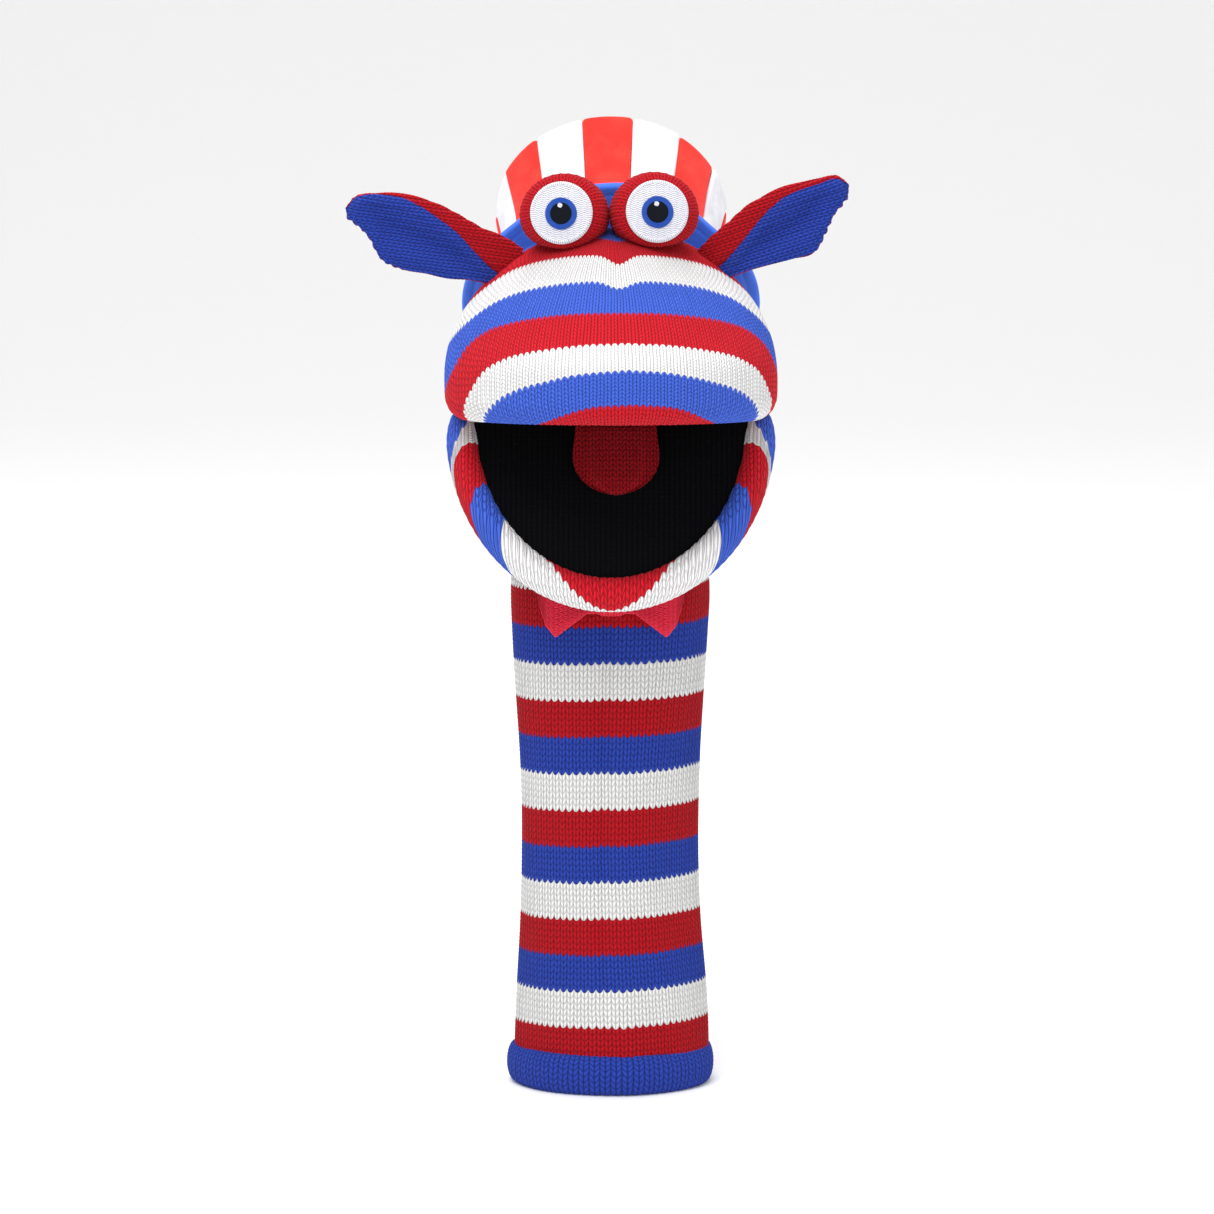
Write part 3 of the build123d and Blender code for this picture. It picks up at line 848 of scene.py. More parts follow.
class Head(Maker):
    """The striped upper head, with the lip rolled in to the palate."""

    wales: int = 150
    stations: Sequence[float] = tuple(range(14))
    heights: Sequence[float] = (
        4.3, 1.5, 0.45, 3.0, 6.0, 10.0, 22.0, 33.0, 44.0, 54.5, 65.0, 72.0, 75.6, 76.2
    )
    fronts: Sequence[float] = (65, 66.6, 70.3, 74.4, 76.1, 77, 76, 66, 57, 47, 37, 25, 12, 0.4)
    backs: Sequence[float] = (58, 59.6, 63.3, 67.4, 69.1, 70, 71, 69, 64, 58, 46, 34, 13, 0.4)
    halves: Sequence[float] = (
        54, 55.6, 59.3, 63.4, 65.1, 66, 65.85, 63.6, 58.4, 50.2, 38.0, 25.6, 12.3, 0.4
    )
    runs: Sequence[float] = (
        0, 3.2, 7.1, 11.9, 15.3, 19.4, 31.4, 46.3, 60.5, 75, 89.5, 103.4, 117, 129
    )
    unrolled: Sequence[float] = (-9, -6, -2.2, 2.6, 6, 10, 22, 33, 44, 54.5, 65, 72, 78, 86)
    border_turns: Sequence[float] = (0, 15, 30, 45, 55, 65, 75, 90, 180)
    borders: Sequence[tuple[float, Sequence[float]]] = (
        (18, (-7, -9, -14, -22, -30, -38, -46, -55, -65)),
        (12, (8.7, 7.4, 1.5, -8, -16, -24, -32, -40, -50)),
        (6, (21.8, 20.4, 17, 12, 5.5, -3, -12, -22, -34)),
        (0, (31.8, 31, 29, 25.5, 20.5, 10.5, 0, -10, -20)),
        (-6, (43.3, 43.1, 41.8, 39.2, 36.3, 31, 22, 12, 0)),
        (-12, (55.3, 55.2, 54, 51.3, 48.3, 43.5, 38, 31, 20)),
        (-18, (65.6, 65.4, 64.8, 63.3, 61.6, 59, 54, 46, 34)),
        (-24, (71.5, 72, 74.5, 74.5, 73.5, 72, 69, 62, 50)),
        (-30, (87, 87, 86.5, 85.5, 84, 81, 77, 70, 60)),
    )

    def station(self, v: Array) -> Array:
        """Station number at a share of the way from the palate to the crown."""
        return np.interp(v * self.runs[-1], self.runs, self.stations)

    def surface(self, phi: Array, station: Array) -> Array:
        """A point of the cover.

        Args:
            phi: Angle from the front towards +X.
            station: Station between the palate's edge and the crown.

        Returns:
            Points in millimetres.
        """
        h = follow(self.stations, self.heights, station)
        front = follow(self.stations, self.fronts, station)
        back = follow(self.stations, self.backs, station)
        half = follow(self.stations, self.halves, station)
        swell = (
            0.35 * np.sin(3 * phi + h / 19.0) * ease(5.0, 7.0, station)
            * ease(12.5, 11.0, station)
        )
        half = half + swell
        along = (front - back) / 2 + ((front + back) / 2 + swell) * np.cos(phi)
        x = half * np.sin(phi)
        dart = (
            1.3 * np.exp(-(((x - 3.2) / 4.0) ** 2)) * ease(8.0, 9.5, station)
            * ease(12.2, 11.4, station)
        )
        dart = dart * (np.cos(phi) > 0)
        lip = HEAD.place(x, along - dart, h - dart * 0.6)
        share = follow(self.stations, (0, 0.03, 0.15, 0.42, 0.76, 1) + (1,) * 8, station)
        rise = follow(self.stations, (250, 255, 261, 268, 275, 284) + (284,) * 8, station)
        tube = points(46.0 * np.sin(phi), -26.5 * np.cos(phi), rise)
        wide = np.interp(rise, (250, 284), (-8.6, 2.0))
        tube[:, 0] += wide * np.sin(phi)
        tube[:, 1] -= wide * 0.4 * np.cos(phi)
        join = tube * (1 - share)[:, None] + lip * share[:, None]
        behind = ease(98.0, 128.0, np.degrees(np.abs(phi)))[:, None]
        result = lip * (1 - behind) + join * behind
        lean = np.array([0.0, 0.866, 0.5])
        proud = (result - np.array([0.0, 12.5, 323.0])) @ lean + 0.5
        return result - np.maximum(proud, 0)[:, None] * lean

    def course(self, phi: Array, station: Array) -> Array:
        """Course number, which counts the stripes six by six.

        Args:
            phi: Angle from the front.
            station: Station of the cover.

        Returns:
            Course numbers.
        """
        level = follow(self.stations, self.unrolled, station)
        turn = np.abs(np.degrees(phi) - 4.5 - 2.5 * ease(40.0, 5.0, level))
        x = follow(self.stations, self.halves, station) * np.sin(phi)
        notch = (
            2.8 * np.exp(-(((x - 3.0) / 5.0) ** 2))
            * ease(46.0, 56.0, level) * (np.cos(phi) > 0)
        )
        level = level + notch * ease(72.0, 66.0, level)
        heights = [follow(self.border_turns, table, turn) for _, table in self.borders]
        result = self.borders[0][0] + np.maximum((heights[0] - level) / 14.0 * 6.0, 0)
        for low, high in zip(heights, heights[1:]):
            result = result - 6.0 * np.clip((level - low) / (high - low), 0, 1)
        return result

    def build(self) -> None:
        """Builds the cover."""

        def angle(u: Array) -> Array:
            """The angle round the piece at u, in radians."""
            return (u * 2 - 1) * math.pi

        def shape(u: Array, v: Array) -> Array:
            """The places of the points at u and v."""
            return self.surface(angle(u), self.station(v))

        def stitch(u: Array, v: Array) -> tuple[Array, Array]:
            """The cloth's own coordinates at u and v."""
            return u * self.wales, self.course(angle(u), self.station(v))

        def relief(u: Array, v: Array) -> Array:
            """How far the stitches stand out at u and v."""
            wale, course = stitch(u, v)
            return rib_relief(wale, course, 0.26) * ease(12.6, 11.0, self.station(v))

        sewn = Sewing("head_cover", self.wales * 3, 176, shape, stitch, relief, joined=True)
        piece = self.dress(
            sewn.make(), "face_knit", "knit_striped", "head", ["head_shell", "head_stuffing"]
        )
        self.keep("finger_pocket", "lining_cotton")
        self.keep("palate_board", "grey_board")


# ---- jaw and mouth ----------------------------------------------------------------------


class Jaw(Maker):
    """The striped lower jaw, with the lip rolled in to the mouth's floor."""

    reach: float = 96.0
    stations: Sequence[float] = tuple(range(12))
    widths: Sequence[float] = (54, 55.6, 59.3, 63.4, 65.1, 66, 64.5, 60.5, 52, 38, 20, 0.5)
    lengths: Sequence[float] = (65, 66.6, 70.3, 74.4, 76.1, 77, 75.5, 71.5, 63, 48, 26, 1)
    depths: Sequence[float] = (4.3, 1.5, 0.45, 3.0, 6.0, 10.0, 14.0, 18.0, 21.3, 22.2, 22.2, 22.0)
    runs: Sequence[float] = (0, 3.2, 7.1, 11.9, 15.3, 19.4, 23.7, 29.5, 38.6, 53, 73, 96)
    across: Sequence[float] = (0, 0.15, 0.38, 0.66, 0.84, 1.05, 1.4, 1.85, 2.4, 3.0, 3.6, 4.0)
    inner: Sequence[float] = (-22, 28.0, 50.4, 66.0, 81.6, 93.5, 112.0)
    outer: Sequence[float] = (-49, 0.7, 36.0, 51.0, 69.0, 74.0, 100.0)
    courses: Sequence[float] = (-6, 0, 6, 12, 18, 24, 30)
    bends: Sequence[float] = (1, 1, 1.6, 2.6, 3, 1, 1)

    def station(self, v: Array) -> Array:
        """Station number at a share of the way from the floor's edge to the underside."""
        return np.interp(v * self.runs[-1], self.runs, self.stations)

    def surface(self, psi: Array, station: Array) -> Array:
        """A point of the cover, from the chin round to the corners of the mouth."""
        wide = follow(self.stations, self.widths, station)
        long = follow(self.stations, self.lengths, station)
        deep = follow(self.stations, self.depths, station)
        degrees = np.degrees(np.abs(psi))
        end = np.clip((degrees - 82.0) / (self.reach - 82.0), 0, 1)
        slim = np.sqrt(np.maximum(1 - end**2, 0.0)) * 0.96 + 0.04
        rolled = ease(8.6, 7.4, station)
        wide = wide + (60.0 - wide) * (1 - slim) * rolled
        long = long + (71.0 - long) * (1 - slim) * rolled
        deep = deep + (10.0 - deep) * (1 - slim) * rolled
        crease = (
            0.9 * np.exp(-((degrees / 3.0) ** 2)) * ease(0.3, 1.2, station)
            * ease(6.0, 4.0, station)
        )
        along = np.maximum(long * np.cos(psi) - crease, -7.5)
        return JAW.place(wide * np.sin(psi), along, deep + crease * 0.5)

    def course(self, psi: Array, station: Array) -> Array:
        """Course number at an angle and a station."""
        q = follow(self.stations, self.across, station)
        degrees = np.degrees(np.abs(psi))
        borders = [
            a + (b - a) * np.where(q < 1, np.maximum(q, 0) ** bend, q)
            for a, b, bend in zip(self.inner, self.outer, self.bends)
        ]
        result = np.full_like(degrees, self.courses[0], dtype=float)
        for low, high in zip(borders, borders[1:]):
            result = result + 6.0 * np.clip((degrees - low) / np.maximum(high - low, 1.0), 0, 1)
        return result

    def build(self) -> None:
        """Builds the cover."""

        def angle(u: Array) -> Array:
            """The angle round the piece at u, in radians."""
            return (1 - u * 2) * math.radians(self.reach)

        def shape(u: Array, v: Array) -> Array:
            """The places of the points at u and v."""
            return self.surface(angle(u), self.station(v))

        def stitch(u: Array, v: Array) -> tuple[Array, Array]:
            """The cloth's own coordinates at u and v."""
            station = self.station(v)
            run = follow(self.stations, self.runs, station)
            return (54 + run) * np.sin(angle(u)) / 3.0 + 0.5, self.course(angle(u), station)

        def relief(u: Array, v: Array) -> Array:
            """How far the stitches stand out at u and v."""
            wale, course = stitch(u, v)
            return rib_relief(wale, course, 0.34) * ease(9.5, 7.0, self.station(v))

        sewn = Sewing("jaw_cover", 420, 150, shape, stitch, relief, joined=True)
        piece = self.dress(
            sewn.make(), "face_knit", "knit_striped", "jaw", ["jaw_shell", "jaw_stuffing"]
        )
        self.keep("thumb_pocket", "lining_cotton")
        self.keep("jaw_board", "grey_board")


class Mouth(Maker):
    """The black lining of both mouth plates, which meet behind the hinge, and the tongue."""

    tongue_half: float = 17.6
    tongue_root: float = 2.5
    tongue_tip: float = 31.2

    def lining(
        self, name: str, plate: MouthFrame, body: str, node: str, board: str
    ) -> bpy.types.Object:
        """One ribbed half of the mouth, which runs on to the fold behind the hinge line.

        Args:
            name: Piece name.
            plate: The mouth plate that it lies on.
            body: The body that it rides on.
            node: The frame's node that it stands for.
            board: The board that it rests on; not used.

        Returns:
            The piece.
        """
        length = 65.6
        back = 6.9

        def layout(v: Array) -> tuple[Array, Array]:
            """The run along the board and the lining's half width at v."""
            along = v * (length + back) - back
            reach = np.clip(along / length, 0, 1)
            return along, 54.6 * np.sqrt(1 - reach**2)

        def shape(u: Array, v: Array) -> Array:
            """The places of the points at u and v."""
            along, half = layout(v)
            side = u * 2 - 1
            puff = 1.2 * (1 - side**2) * np.sin(np.pi * np.clip(along / length, 0, 1))
            return plate.place(half * side, along, 4.15 - puff)

        def stitch(u: Array, v: Array) -> tuple[Array, Array]:
            """The cloth's own coordinates at u and v."""
            along, half = layout(v)
            return half * (u * 2 - 1) / 2.1, along / 2.0

        sewn = Sewing(name, 160, 100, shape, stitch, None, joined=True, turned=plate.jaw)
        piece = self.dress(sewn.make(), "black_ribbing", "mouth_black", body, [node])
        return piece

    def tongue(self) -> bpy.types.Object:
        """A flat knitted pad with a round tip."""
        root, tip, half = self.tongue_root, self.tongue_tip, self.tongue_half

        def outline(v: Array) -> tuple[Array, Array]:
            """The tongue's run and half width at v."""
            run = root + v * (tip - root)
            left = np.clip((tip - run) / 17.0, 0, 1)
            width = half * np.sqrt(np.maximum(1 - (1 - left) ** 2.3, 0.0))
            return run, width * (0.93 + 0.07 * ease(0.0, 0.5, v))

        def shape(u: Array, v: Array) -> Array:
            """The places of the points at u and v."""
            run, width = outline(v)
            theta = u * 2 * math.pi
            thick = 2.0 * np.minimum(1.0, width / 7.0) * ease(-0.15, 0.1, v)
            curl = 1.1 * np.abs(np.cos(theta)) ** 3
            rim = np.maximum(1 - (1 - np.abs(np.cos(theta))) / 0.45, 0) * (np.sin(theta) > 0)
            curl = curl - 1.0 * np.sin(math.pi * rim) + 0.5 * ease(0.95, 0.75, v)
            return JAW.place(2.0 + width * np.cos(theta), run, 1.9 - thick * np.sin(theta) - curl)

        def stitch(u: Array, v: Array) -> tuple[Array, Array]:
            """The cloth's own coordinates at u and v."""
            run, width = outline(v)
            return width * np.cos(u * 2 * math.pi) / 2.7, run / 2.1

        def relief(u: Array, v: Array) -> Array:
            """How far the stitches stand out at u and v."""
            return rib_relief(*stitch(u, v), height=0.3) * ease(1.0, 0.93, v)

        sewn = Sewing(
            "tongue", 150, 84, shape, stitch, relief, joined=True, solid=True, turned=True
        )
        piece = self.dress(
            sewn.make(), "tongue_knit", "knit_red", "tongue", ["tongue_top", "tongue_underside"]
        )
        return piece

    def build(self) -> None:
        """Builds both halves of the lining and the tongue."""
        self.lining("mouth_roof", HEAD, "head", "palate_lining", "palate_board")
        self.lining("mouth_floor", JAW, "jaw", "jaw_lining", "jaw_board")
        self.tongue()


# ---- eyes -------------------------------------------------------------------------------


class Eye(Maker):
    """One knitted mound with an embroidered eye on its front."""

    radius: float = 18.0
    patch: float = 12.2
    ribs: int = 34

    def __init__(self, wardrobe: Wardrobe, side: Side) -> None:
        """Works out where the eye stands and which way it looks."""
        super().__init__(wardrobe)
        self.side = side
        across, high = (-18.3, 365.2) if side is Side.LEFT else (16.9, 365.8)
        self.centre = np.array([across, -48.0, high])
        toe = math.radians(5.0) * side.value
        rise = math.radians(10.0)
        self.facing = np.array(
            [math.sin(toe) * math.cos(rise), -math.cos(toe) * math.cos(rise), math.sin(rise)]
        )
        self.level = np.array([math.cos(toe), math.sin(toe), 0.0])
        self.upright = np.cross(self.facing, self.level) * -1.0
        if self.upright[2] < 0:
            self.upright = -self.upright
        self.seat = math.sqrt(self.radius**2 - self.patch**2)

    def local(self, right: Array, up: Array, out: Array) -> Array:
        """Points from the eye's own right, up and outward distances."""
        return (
            self.centre
            + np.asarray(right)[:, None] * self.level
            + np.asarray(up)[:, None] * self.upright
            + np.asarray(out)[:, None] * self.facing
        )

    def mound(self) -> bpy.types.Object:
        """The knitted ball, gathered round the patch."""
        first = math.acos(self.seat / self.radius)

        def slim(turn: Array) -> Array:
            """The share that the mound is drawn in at an angle round it."""
            return 0.07 + 0.17 * np.maximum(-np.sin(turn), 0)

        def tilt(v: Array) -> Array:
            """The angle from the mound's pole at v."""
            return first * 0.86 + v * (math.radians(179.6) - first * 0.86)

        def shape(u: Array, v: Array) -> Array:
            """The places of the points at u and v."""
            turn = u * 2 * math.pi
            theta = tilt(v)
            bulge = 0.9 * np.exp(-(((theta - first - 0.28) / 0.22) ** 2))
            dip = -1.6 * ease(first + 0.02, first - 0.1, theta)
            r = self.radius + bulge + dip
            return self.local(
                r * np.sin(theta) * np.cos(turn) * 0.99,
                r * np.sin(theta) * np.sin(turn)
                * (1 - slim(turn) * ease(first, first + 0.5, theta)),
                r * np.cos(theta),
            )

        def stitch(u: Array, v: Array) -> tuple[Array, Array]:
            """The cloth's own coordinates at u and v."""
            return u * self.ribs, tilt(v) * self.radius / 2.3

        def relief(u: Array, v: Array) -> Array:
            """How far the stitches stand out at u and v."""
            return rib_relief(*stitch(u, v), height=0.2) * ease(first - 0.08, first + 0.12, tilt(v))

        sewn = Sewing(
            f"eye_mound_{self.side.word}", self.ribs * 6, 90, shape, stitch, relief, joined=True
        )
        piece = self.dress(
            sewn.make(),
            "eye_knit",
            "knit_red",
            "head",
            [f"eye_cover_{self.side.word}", f"eye_filling_{self.side.word}"],
        )
        return piece

    def disc(
        self, part: str, inner: float, outer: float, base: float, dome: float,
        at: tuple[float, float],
    ) -> bpy.types.Object:
        """A domed disc or ring of stitches.

        Args:
            part: What it is.
            inner: Inner radius, or 0.
            outer: Outer radius.
            base: Height of its edge over the seat.
            dome: How far its middle stands out.
            at: Its middle, to the right and up.

        Returns:
            The piece.
        """
        edge = 0.55 if part == "patch" else 0.3

        def shape(u: Array, v: Array) -> Array:
            """The places of the points at u and v."""
            turn = u * 2 * math.pi
            r = inner + (outer - inner) * np.minimum(v / 0.9, 1.0)
            round_off = np.sqrt(np.maximum(1 - ((v - 0.8) / 0.2).clip(0, 1) ** 2, 0))
            lift = base + dome * (1 - (r / 12.2) ** 2) + edge * round_off - edge
            if part == "patch":
                lift = lift + 0.45 * np.exp(-(((r - 11.4) / 0.55) ** 2)) * round_off
            if inner > 0:
                lift = lift - edge * ease(0.15, 0.0, v)
            drop = 0.9 * ease(0.9, 1.0, v)
            return self.local(
                at[0] + r * np.cos(turn), at[1] + r * np.sin(turn), self.seat + lift - drop
            )

        def stitch(u: Array, v: Array) -> tuple[Array, Array]:
            """The cloth's own coordinates at u and v."""
            turn = u * 2 * math.pi
            r = inner + (outer - inner) * np.minimum(v / 0.9, 1.0)
            return r * np.cos(turn), r * np.sin(turn)

        name = f"eye_{part}_{self.side.word}_stitched"
        sewn = Sewing(name, 144, 60, shape, stitch, None, joined=True)
        return sewn.make()

    def build(self) -> None:
        """Builds the mound and the four embroidered parts."""
        self.mound()
        word = self.side.word
        for part, inner, outer, base, dome, at, finish, slot in (
            ("patch", 0.0, 12.3, 0.75, 1.2, (0.0, 0.0), "white_thread", "thread_white"),
            ("iris", 4.0, 6.25, 1.25, 1.2, (0.0, -0.4), "blue_thread", "thread_blue"),
            ("pupil", 0.0, 4.3, 1.2, 1.2, (0.0, -0.4), "black_thread", "thread_black"),
            ("highlight", 0.0, 0.95, 1.55, 1.2, (-0.4, 2.8), "white_thread", "thread_white"),
        ):
            piece = self.disc(part, inner, outer, base, dome, at)
            self.dress(piece, finish, slot, "head", [f"eye_{part}_{word}"])


# ---- hat --------------------------------------------------------------------------------


class Hat(Maker):
    """The panelled crown, its flat top and the felt brim."""

    panels: int = 14
    base_radius: float = 40.0
    top_radius: float = 48.0
    crown_low: float = 3.9
    crown_high: float = 66.9
    brim_radius: float = 61.0

    def place(self, radius: Array, turn: Array, level: Array) -> Array:
        """Points from a radius, an angle from the top towards +X and a level up the crown."""
        across = radius * np.sin(turn)
        up = radius * np.cos(turn)
        y = 12.5 + level * 0.866 - up * 0.5
        z = 323.0 + level * 0.5 + up * 0.866
        return points(across, y, z)

    def panel(self, number: int) -> bpy.types.Object:
        """One velour panel, a little flat across, sewn in at both edges.

        Args:
            number: Which panel, from 1 at the top.

        Returns:
            The piece.
        """
        half = math.pi / self.panels
        middle = (number - 1) * 2 * half - math.radians(1.7)

        def shape(u: Array, v: Array) -> Array:
            """The places of the points at u and v."""
            beta = (u * 2 - 1) * half
            side = np.minimum(v / 0.86, 1.0)
            over = np.clip((v - 0.86) / 0.14, 0, 1) * math.pi / 2
            straight = self.base_radius + (self.top_radius - self.base_radius) * side
            flat = math.cos(half) / np.cos(beta)
            radius = straight * (0.45 + 0.55 * flat)
            edge = (half - np.abs(beta)) * straight
            radius = radius + 0.9 * np.sin(np.pi * u) ** 0.5 - 0.9 * np.exp(-((edge / 0.8) ** 2))
            radius = radius - 0.8 * np.sin(math.pi * side) + 0.3 * np.sin(number * 2.1 + side * 5.0)
            radius = radius - 3.2 * (1 - np.cos(over))
            level = self.crown_low - 0.4 + (self.crown_high - 3.0 - self.crown_low + 0.4) * side
            return self.place(radius, middle + beta, level + 3.2 * np.sin(over))

        def stitch(u: Array, v: Array) -> tuple[Array, Array]:
            """The cloth's own coordinates at u and v."""
            return u * 20.0, v * 70.0

        sewn = Sewing(f"crown_panel_{number:02d}", 40, 60, shape, stitch)
        red = number % 2 == 1
        return self.dress(
            sewn.make(),
            "red_velour" if red else "white_velour",
            "velour_red" if red else "velour_white",
            "head",
            [f"hat_panel_{number:02d}"],
        )

    def top(self) -> bpy.types.Object:
        """The round top, sewn to the panels."""
        reach = 45.9

        def shape(u: Array, v: Array) -> Array:
            """The places of the points at u and v."""
            turn = u * 2 * math.pi
            radius = reach * v
            level = (
                self.crown_high + 0.3 + 1.4 * (1 - v**2)
                - 0.9 * np.exp(-(((1 - v) * reach / 0.9) ** 2))
            )
            return self.place(radius, turn, level)

        def stitch(u: Array, v: Array) -> tuple[Array, Array]:
            """The cloth's own coordinates at u and v."""
            return v * 45 * np.cos(u * 2 * math.pi), v * 45 * np.sin(u * 2 * math.pi)

        sewn = Sewing("crown_top", 112, 46, shape, stitch, None, joined=True, turned=True)
        return self.dress(
            sewn.make(), "red_velour", "velour_red", "head", ["hat_top", "hat_filling"]
        )

    def brim(self) -> bpy.types.Object:
        """Both felts of the brim, turned over its edge, with a row of stitches."""
        steps = (0.0, 0.38, 0.44, 0.47, 0.5, 0.53, 0.56, 0.62, 1.0)

        def shape(u: Array, v: Array) -> Array:
            """The places of the points at u and v."""
            turn = (u * 2 - 1) * math.pi
            degrees = np.degrees(np.abs(turn))
            rim = self.brim_radius - 5.5 * np.exp(-(((degrees - 45) / 24) ** 2))
            rim = rim - 2.6 * np.exp(-((degrees / 16) ** 2))
            out = follow(steps, (0, 0.9, 0.975, 0.994, 1.0, 0.994, 0.975, 0.9, 0.35), v)
            level = follow(steps, (0.1, 0.1, 0.3, 0.9, 2.0, 3.1, 3.7, 3.9, 3.9), v)
            radius = 29.0 + (rim - 29.0) * out
            near = rim - radius
            seam = 0.35 * np.exp(-(((near - 4.2) / 0.7) ** 2))
            level = level + np.where(v < 0.5, seam, -seam)
            wave = (0.8 * np.sin(3 * turn + 0.8) + 0.5 * np.sin(5 * turn)) * ease(45, 60, radius)
            return self.place(radius, turn, level + wave)

        def stitch(u: Array, v: Array) -> tuple[Array, Array]:
            """The cloth's own coordinates at u and v."""
            return u * 120.0, v * 40.0

        sewn = Sewing("brim", 220, 120, shape, stitch, None, joined=True, turned=False)
        piece = sewn.make()
        covered = ["hat_brim_upper", "hat_brim_under", "hat_brim_stiffener"]
        self.dress(piece, "blue_felt", "felt_blue", "head", covered)
        return piece

    def build(self) -> None:
        """Builds the panels, the top and the brim."""
        for number in range(1, self.panels + 1):
            self.panel(number)
        self.top()
        self.brim()


# ---- ears -------------------------------------------------------------------------------


class Ear(Maker):
    """One leaf ear: a red back that folds over the top edge, and a cupped blue front."""

    def __init__(self, wardrobe: Wardrobe, side: Side) -> None:
        """Chooses the leaf's outline for the side.

        Args:
            wardrobe: The finishes.
            side: Left or right.
        """
        super().__init__(wardrobe)
        self.side = side
        if side is Side.LEFT:
            self.angle = math.radians(17.0)
            self.runs = (-9.5, 0, 8, 16, 24, 34, 43, 51, 57, 60.5, 62.5)
            self.upper = (10.5, 13, 13.6, 15.4, 17.1, 18.0, 17.3, 15.2, 12.8, 10.2, 5.5)
            self.lower = (-6.6, -6.8, -7.6, -9.6, -10, -11.2, -9.9, -2.5, 0.6, 2.0, 5.0)
            self.fold = (-3.5, -1, 3.4, 8.2, 11.6, 14.8, 15.9, 14.6, 12.3, 9.8, 5.4)
        else:
            self.angle = math.radians(27.0)
            self.runs = (-9.5, 0, 8, 16, 24, 33, 41, 47, 52, 55, 56.8)
            self.upper = (11.0, 14.4, 16.2, 18.4, 19.1, 18.8, 17.0, 15.6, 14.2, 12.0, 8.2)
            self.lower = (-3.0, -3.8, -4.9, -6.6, -8.6, -9.9, -4.4, 0.2, 2.4, 4.6, 7.8)
            self.fold = (0.6, 2.8, 6.3, 10.0, 13.2, 15.2, 14.6, 13.6, 12.8, 11.0, 8.1)

    def place(self, run: Array, off: Array, out: Array) -> Array:
        """Points from distances along the ear, across it and out of its front."""
        c, s = math.cos(self.angle), math.sin(self.angle)
        x = self.side.value * (47 + run * c - off * s)
        z = 344 + run * s + off * c
        return points(x, -39.0 - out, z)

    def _crease(self, run: Array) -> Array:
        """Where the valley of the cupped front lies."""
        low = follow(self.runs, self.lower, run)
        fold = follow(self.runs, self.fold, run)
        return low + (fold - low) * 0.52

    def leaf(self, red: bool) -> bpy.types.Object:
        """The back or the front of the ear.

        Args:
            red: Whether it is the red back.

        Returns:
            The piece.
        """
        first, last = self.runs[0], self.runs[-1]

        def edges(run: Array) -> tuple[Array, Array]:
            """The ear side's low and top edge at a run along it."""
            low = follow(self.runs, self.lower, run)
            top = follow(self.runs, self.upper if red else self.fold, run)
            return (low, top) if red else (low + 0.4, top)

        def shape(u: Array, v: Array) -> Array:
            """The places of the points at u and v."""
            run = first + (last - first) * (1 - (1 - v) ** 1.35)
            low, top = edges(run)
            theta = u * 2 * math.pi
            middle, half = (low + top) / 2, (top - low) / 2
            scallop = 0.35 * np.sin(run * 1.9) * ease(30, 40, run) * ease(0.2, -0.8, np.cos(theta))
            off = middle + (half + scallop) * np.cos(theta)
            end = ease(0.0, 5.0, last - run)
            valley = self._crease(run)
            cup = 2.6 * np.exp(-(((off - valley) / 4.4) ** 2)) * ease(last - 4, last - 22, run)
            lower_swell = 0.9 * np.exp(-(((off - low - 5) / 4.0) ** 2))
            if red:
                thick = 2.5 * (0.35 + 0.65 * end)
                roll = 1.2 * ease(0.35, 0.95, np.cos(theta))
                front = thick * np.sin(theta) + roll - cup * np.maximum(np.sin(theta), 0)
                fold = follow(self.runs, self.fold, run)
                tuck = 2.2 * ease(0.5, -2.5, off - fold) * np.maximum(np.sin(theta), 0)
                front = front + 0.2 - tuck
            else:
                brow = 0.9 * np.exp(-(((off - top + 2.4) / 2.2) ** 2))
                face = 2.3 * (0.3 + 0.7 * end) - cup * 1.15 + (lower_swell + brow) * end
                front = face + 0.6 * np.sin(theta)
            return self.place(run, off, front)

        def stitch(u: Array, v: Array) -> tuple[Array, Array]:
            """The cloth's own coordinates at u and v."""
            run = first + (last - first) * (1 - (1 - v) ** 1.35)
            low, top = edges(run)
            off = (low + top) / 2 + (top - low) / 2 * np.cos(u * 2 * math.pi)
            return off / 2.5 + run * 0.06, run / 2.1

        def relief(u: Array, v: Array) -> Array:
            """How far the stitches stand out at u and v."""
            return rib_relief(*stitch(u, v), height=0.32) * ease(1.0, 0.94, v)

        name = f"ear_{'back' if red else 'front'}_{self.side.word}_knit"
        sewn = Sewing(name, 176, 120, shape, stitch, relief, joined=True, solid=True)
        sewn.turned = self.side is Side.LEFT
        return sewn.make()

    def build(self) -> None:
        """Builds the red back and the blue front."""
        word = self.side.word
        back = self.dress(
            self.leaf(True), "red_knit", "knit_red", f"ear_{word}",
            [f"ear_back_{word}", f"ear_wadding_{word}"],
        )
        front = self.dress(
            self.leaf(False), "blue_knit", "knit_blue", f"ear_{word}", [f"ear_front_{word}"]
        )


# ---- bow tie ----------------------------------------------------------------------------


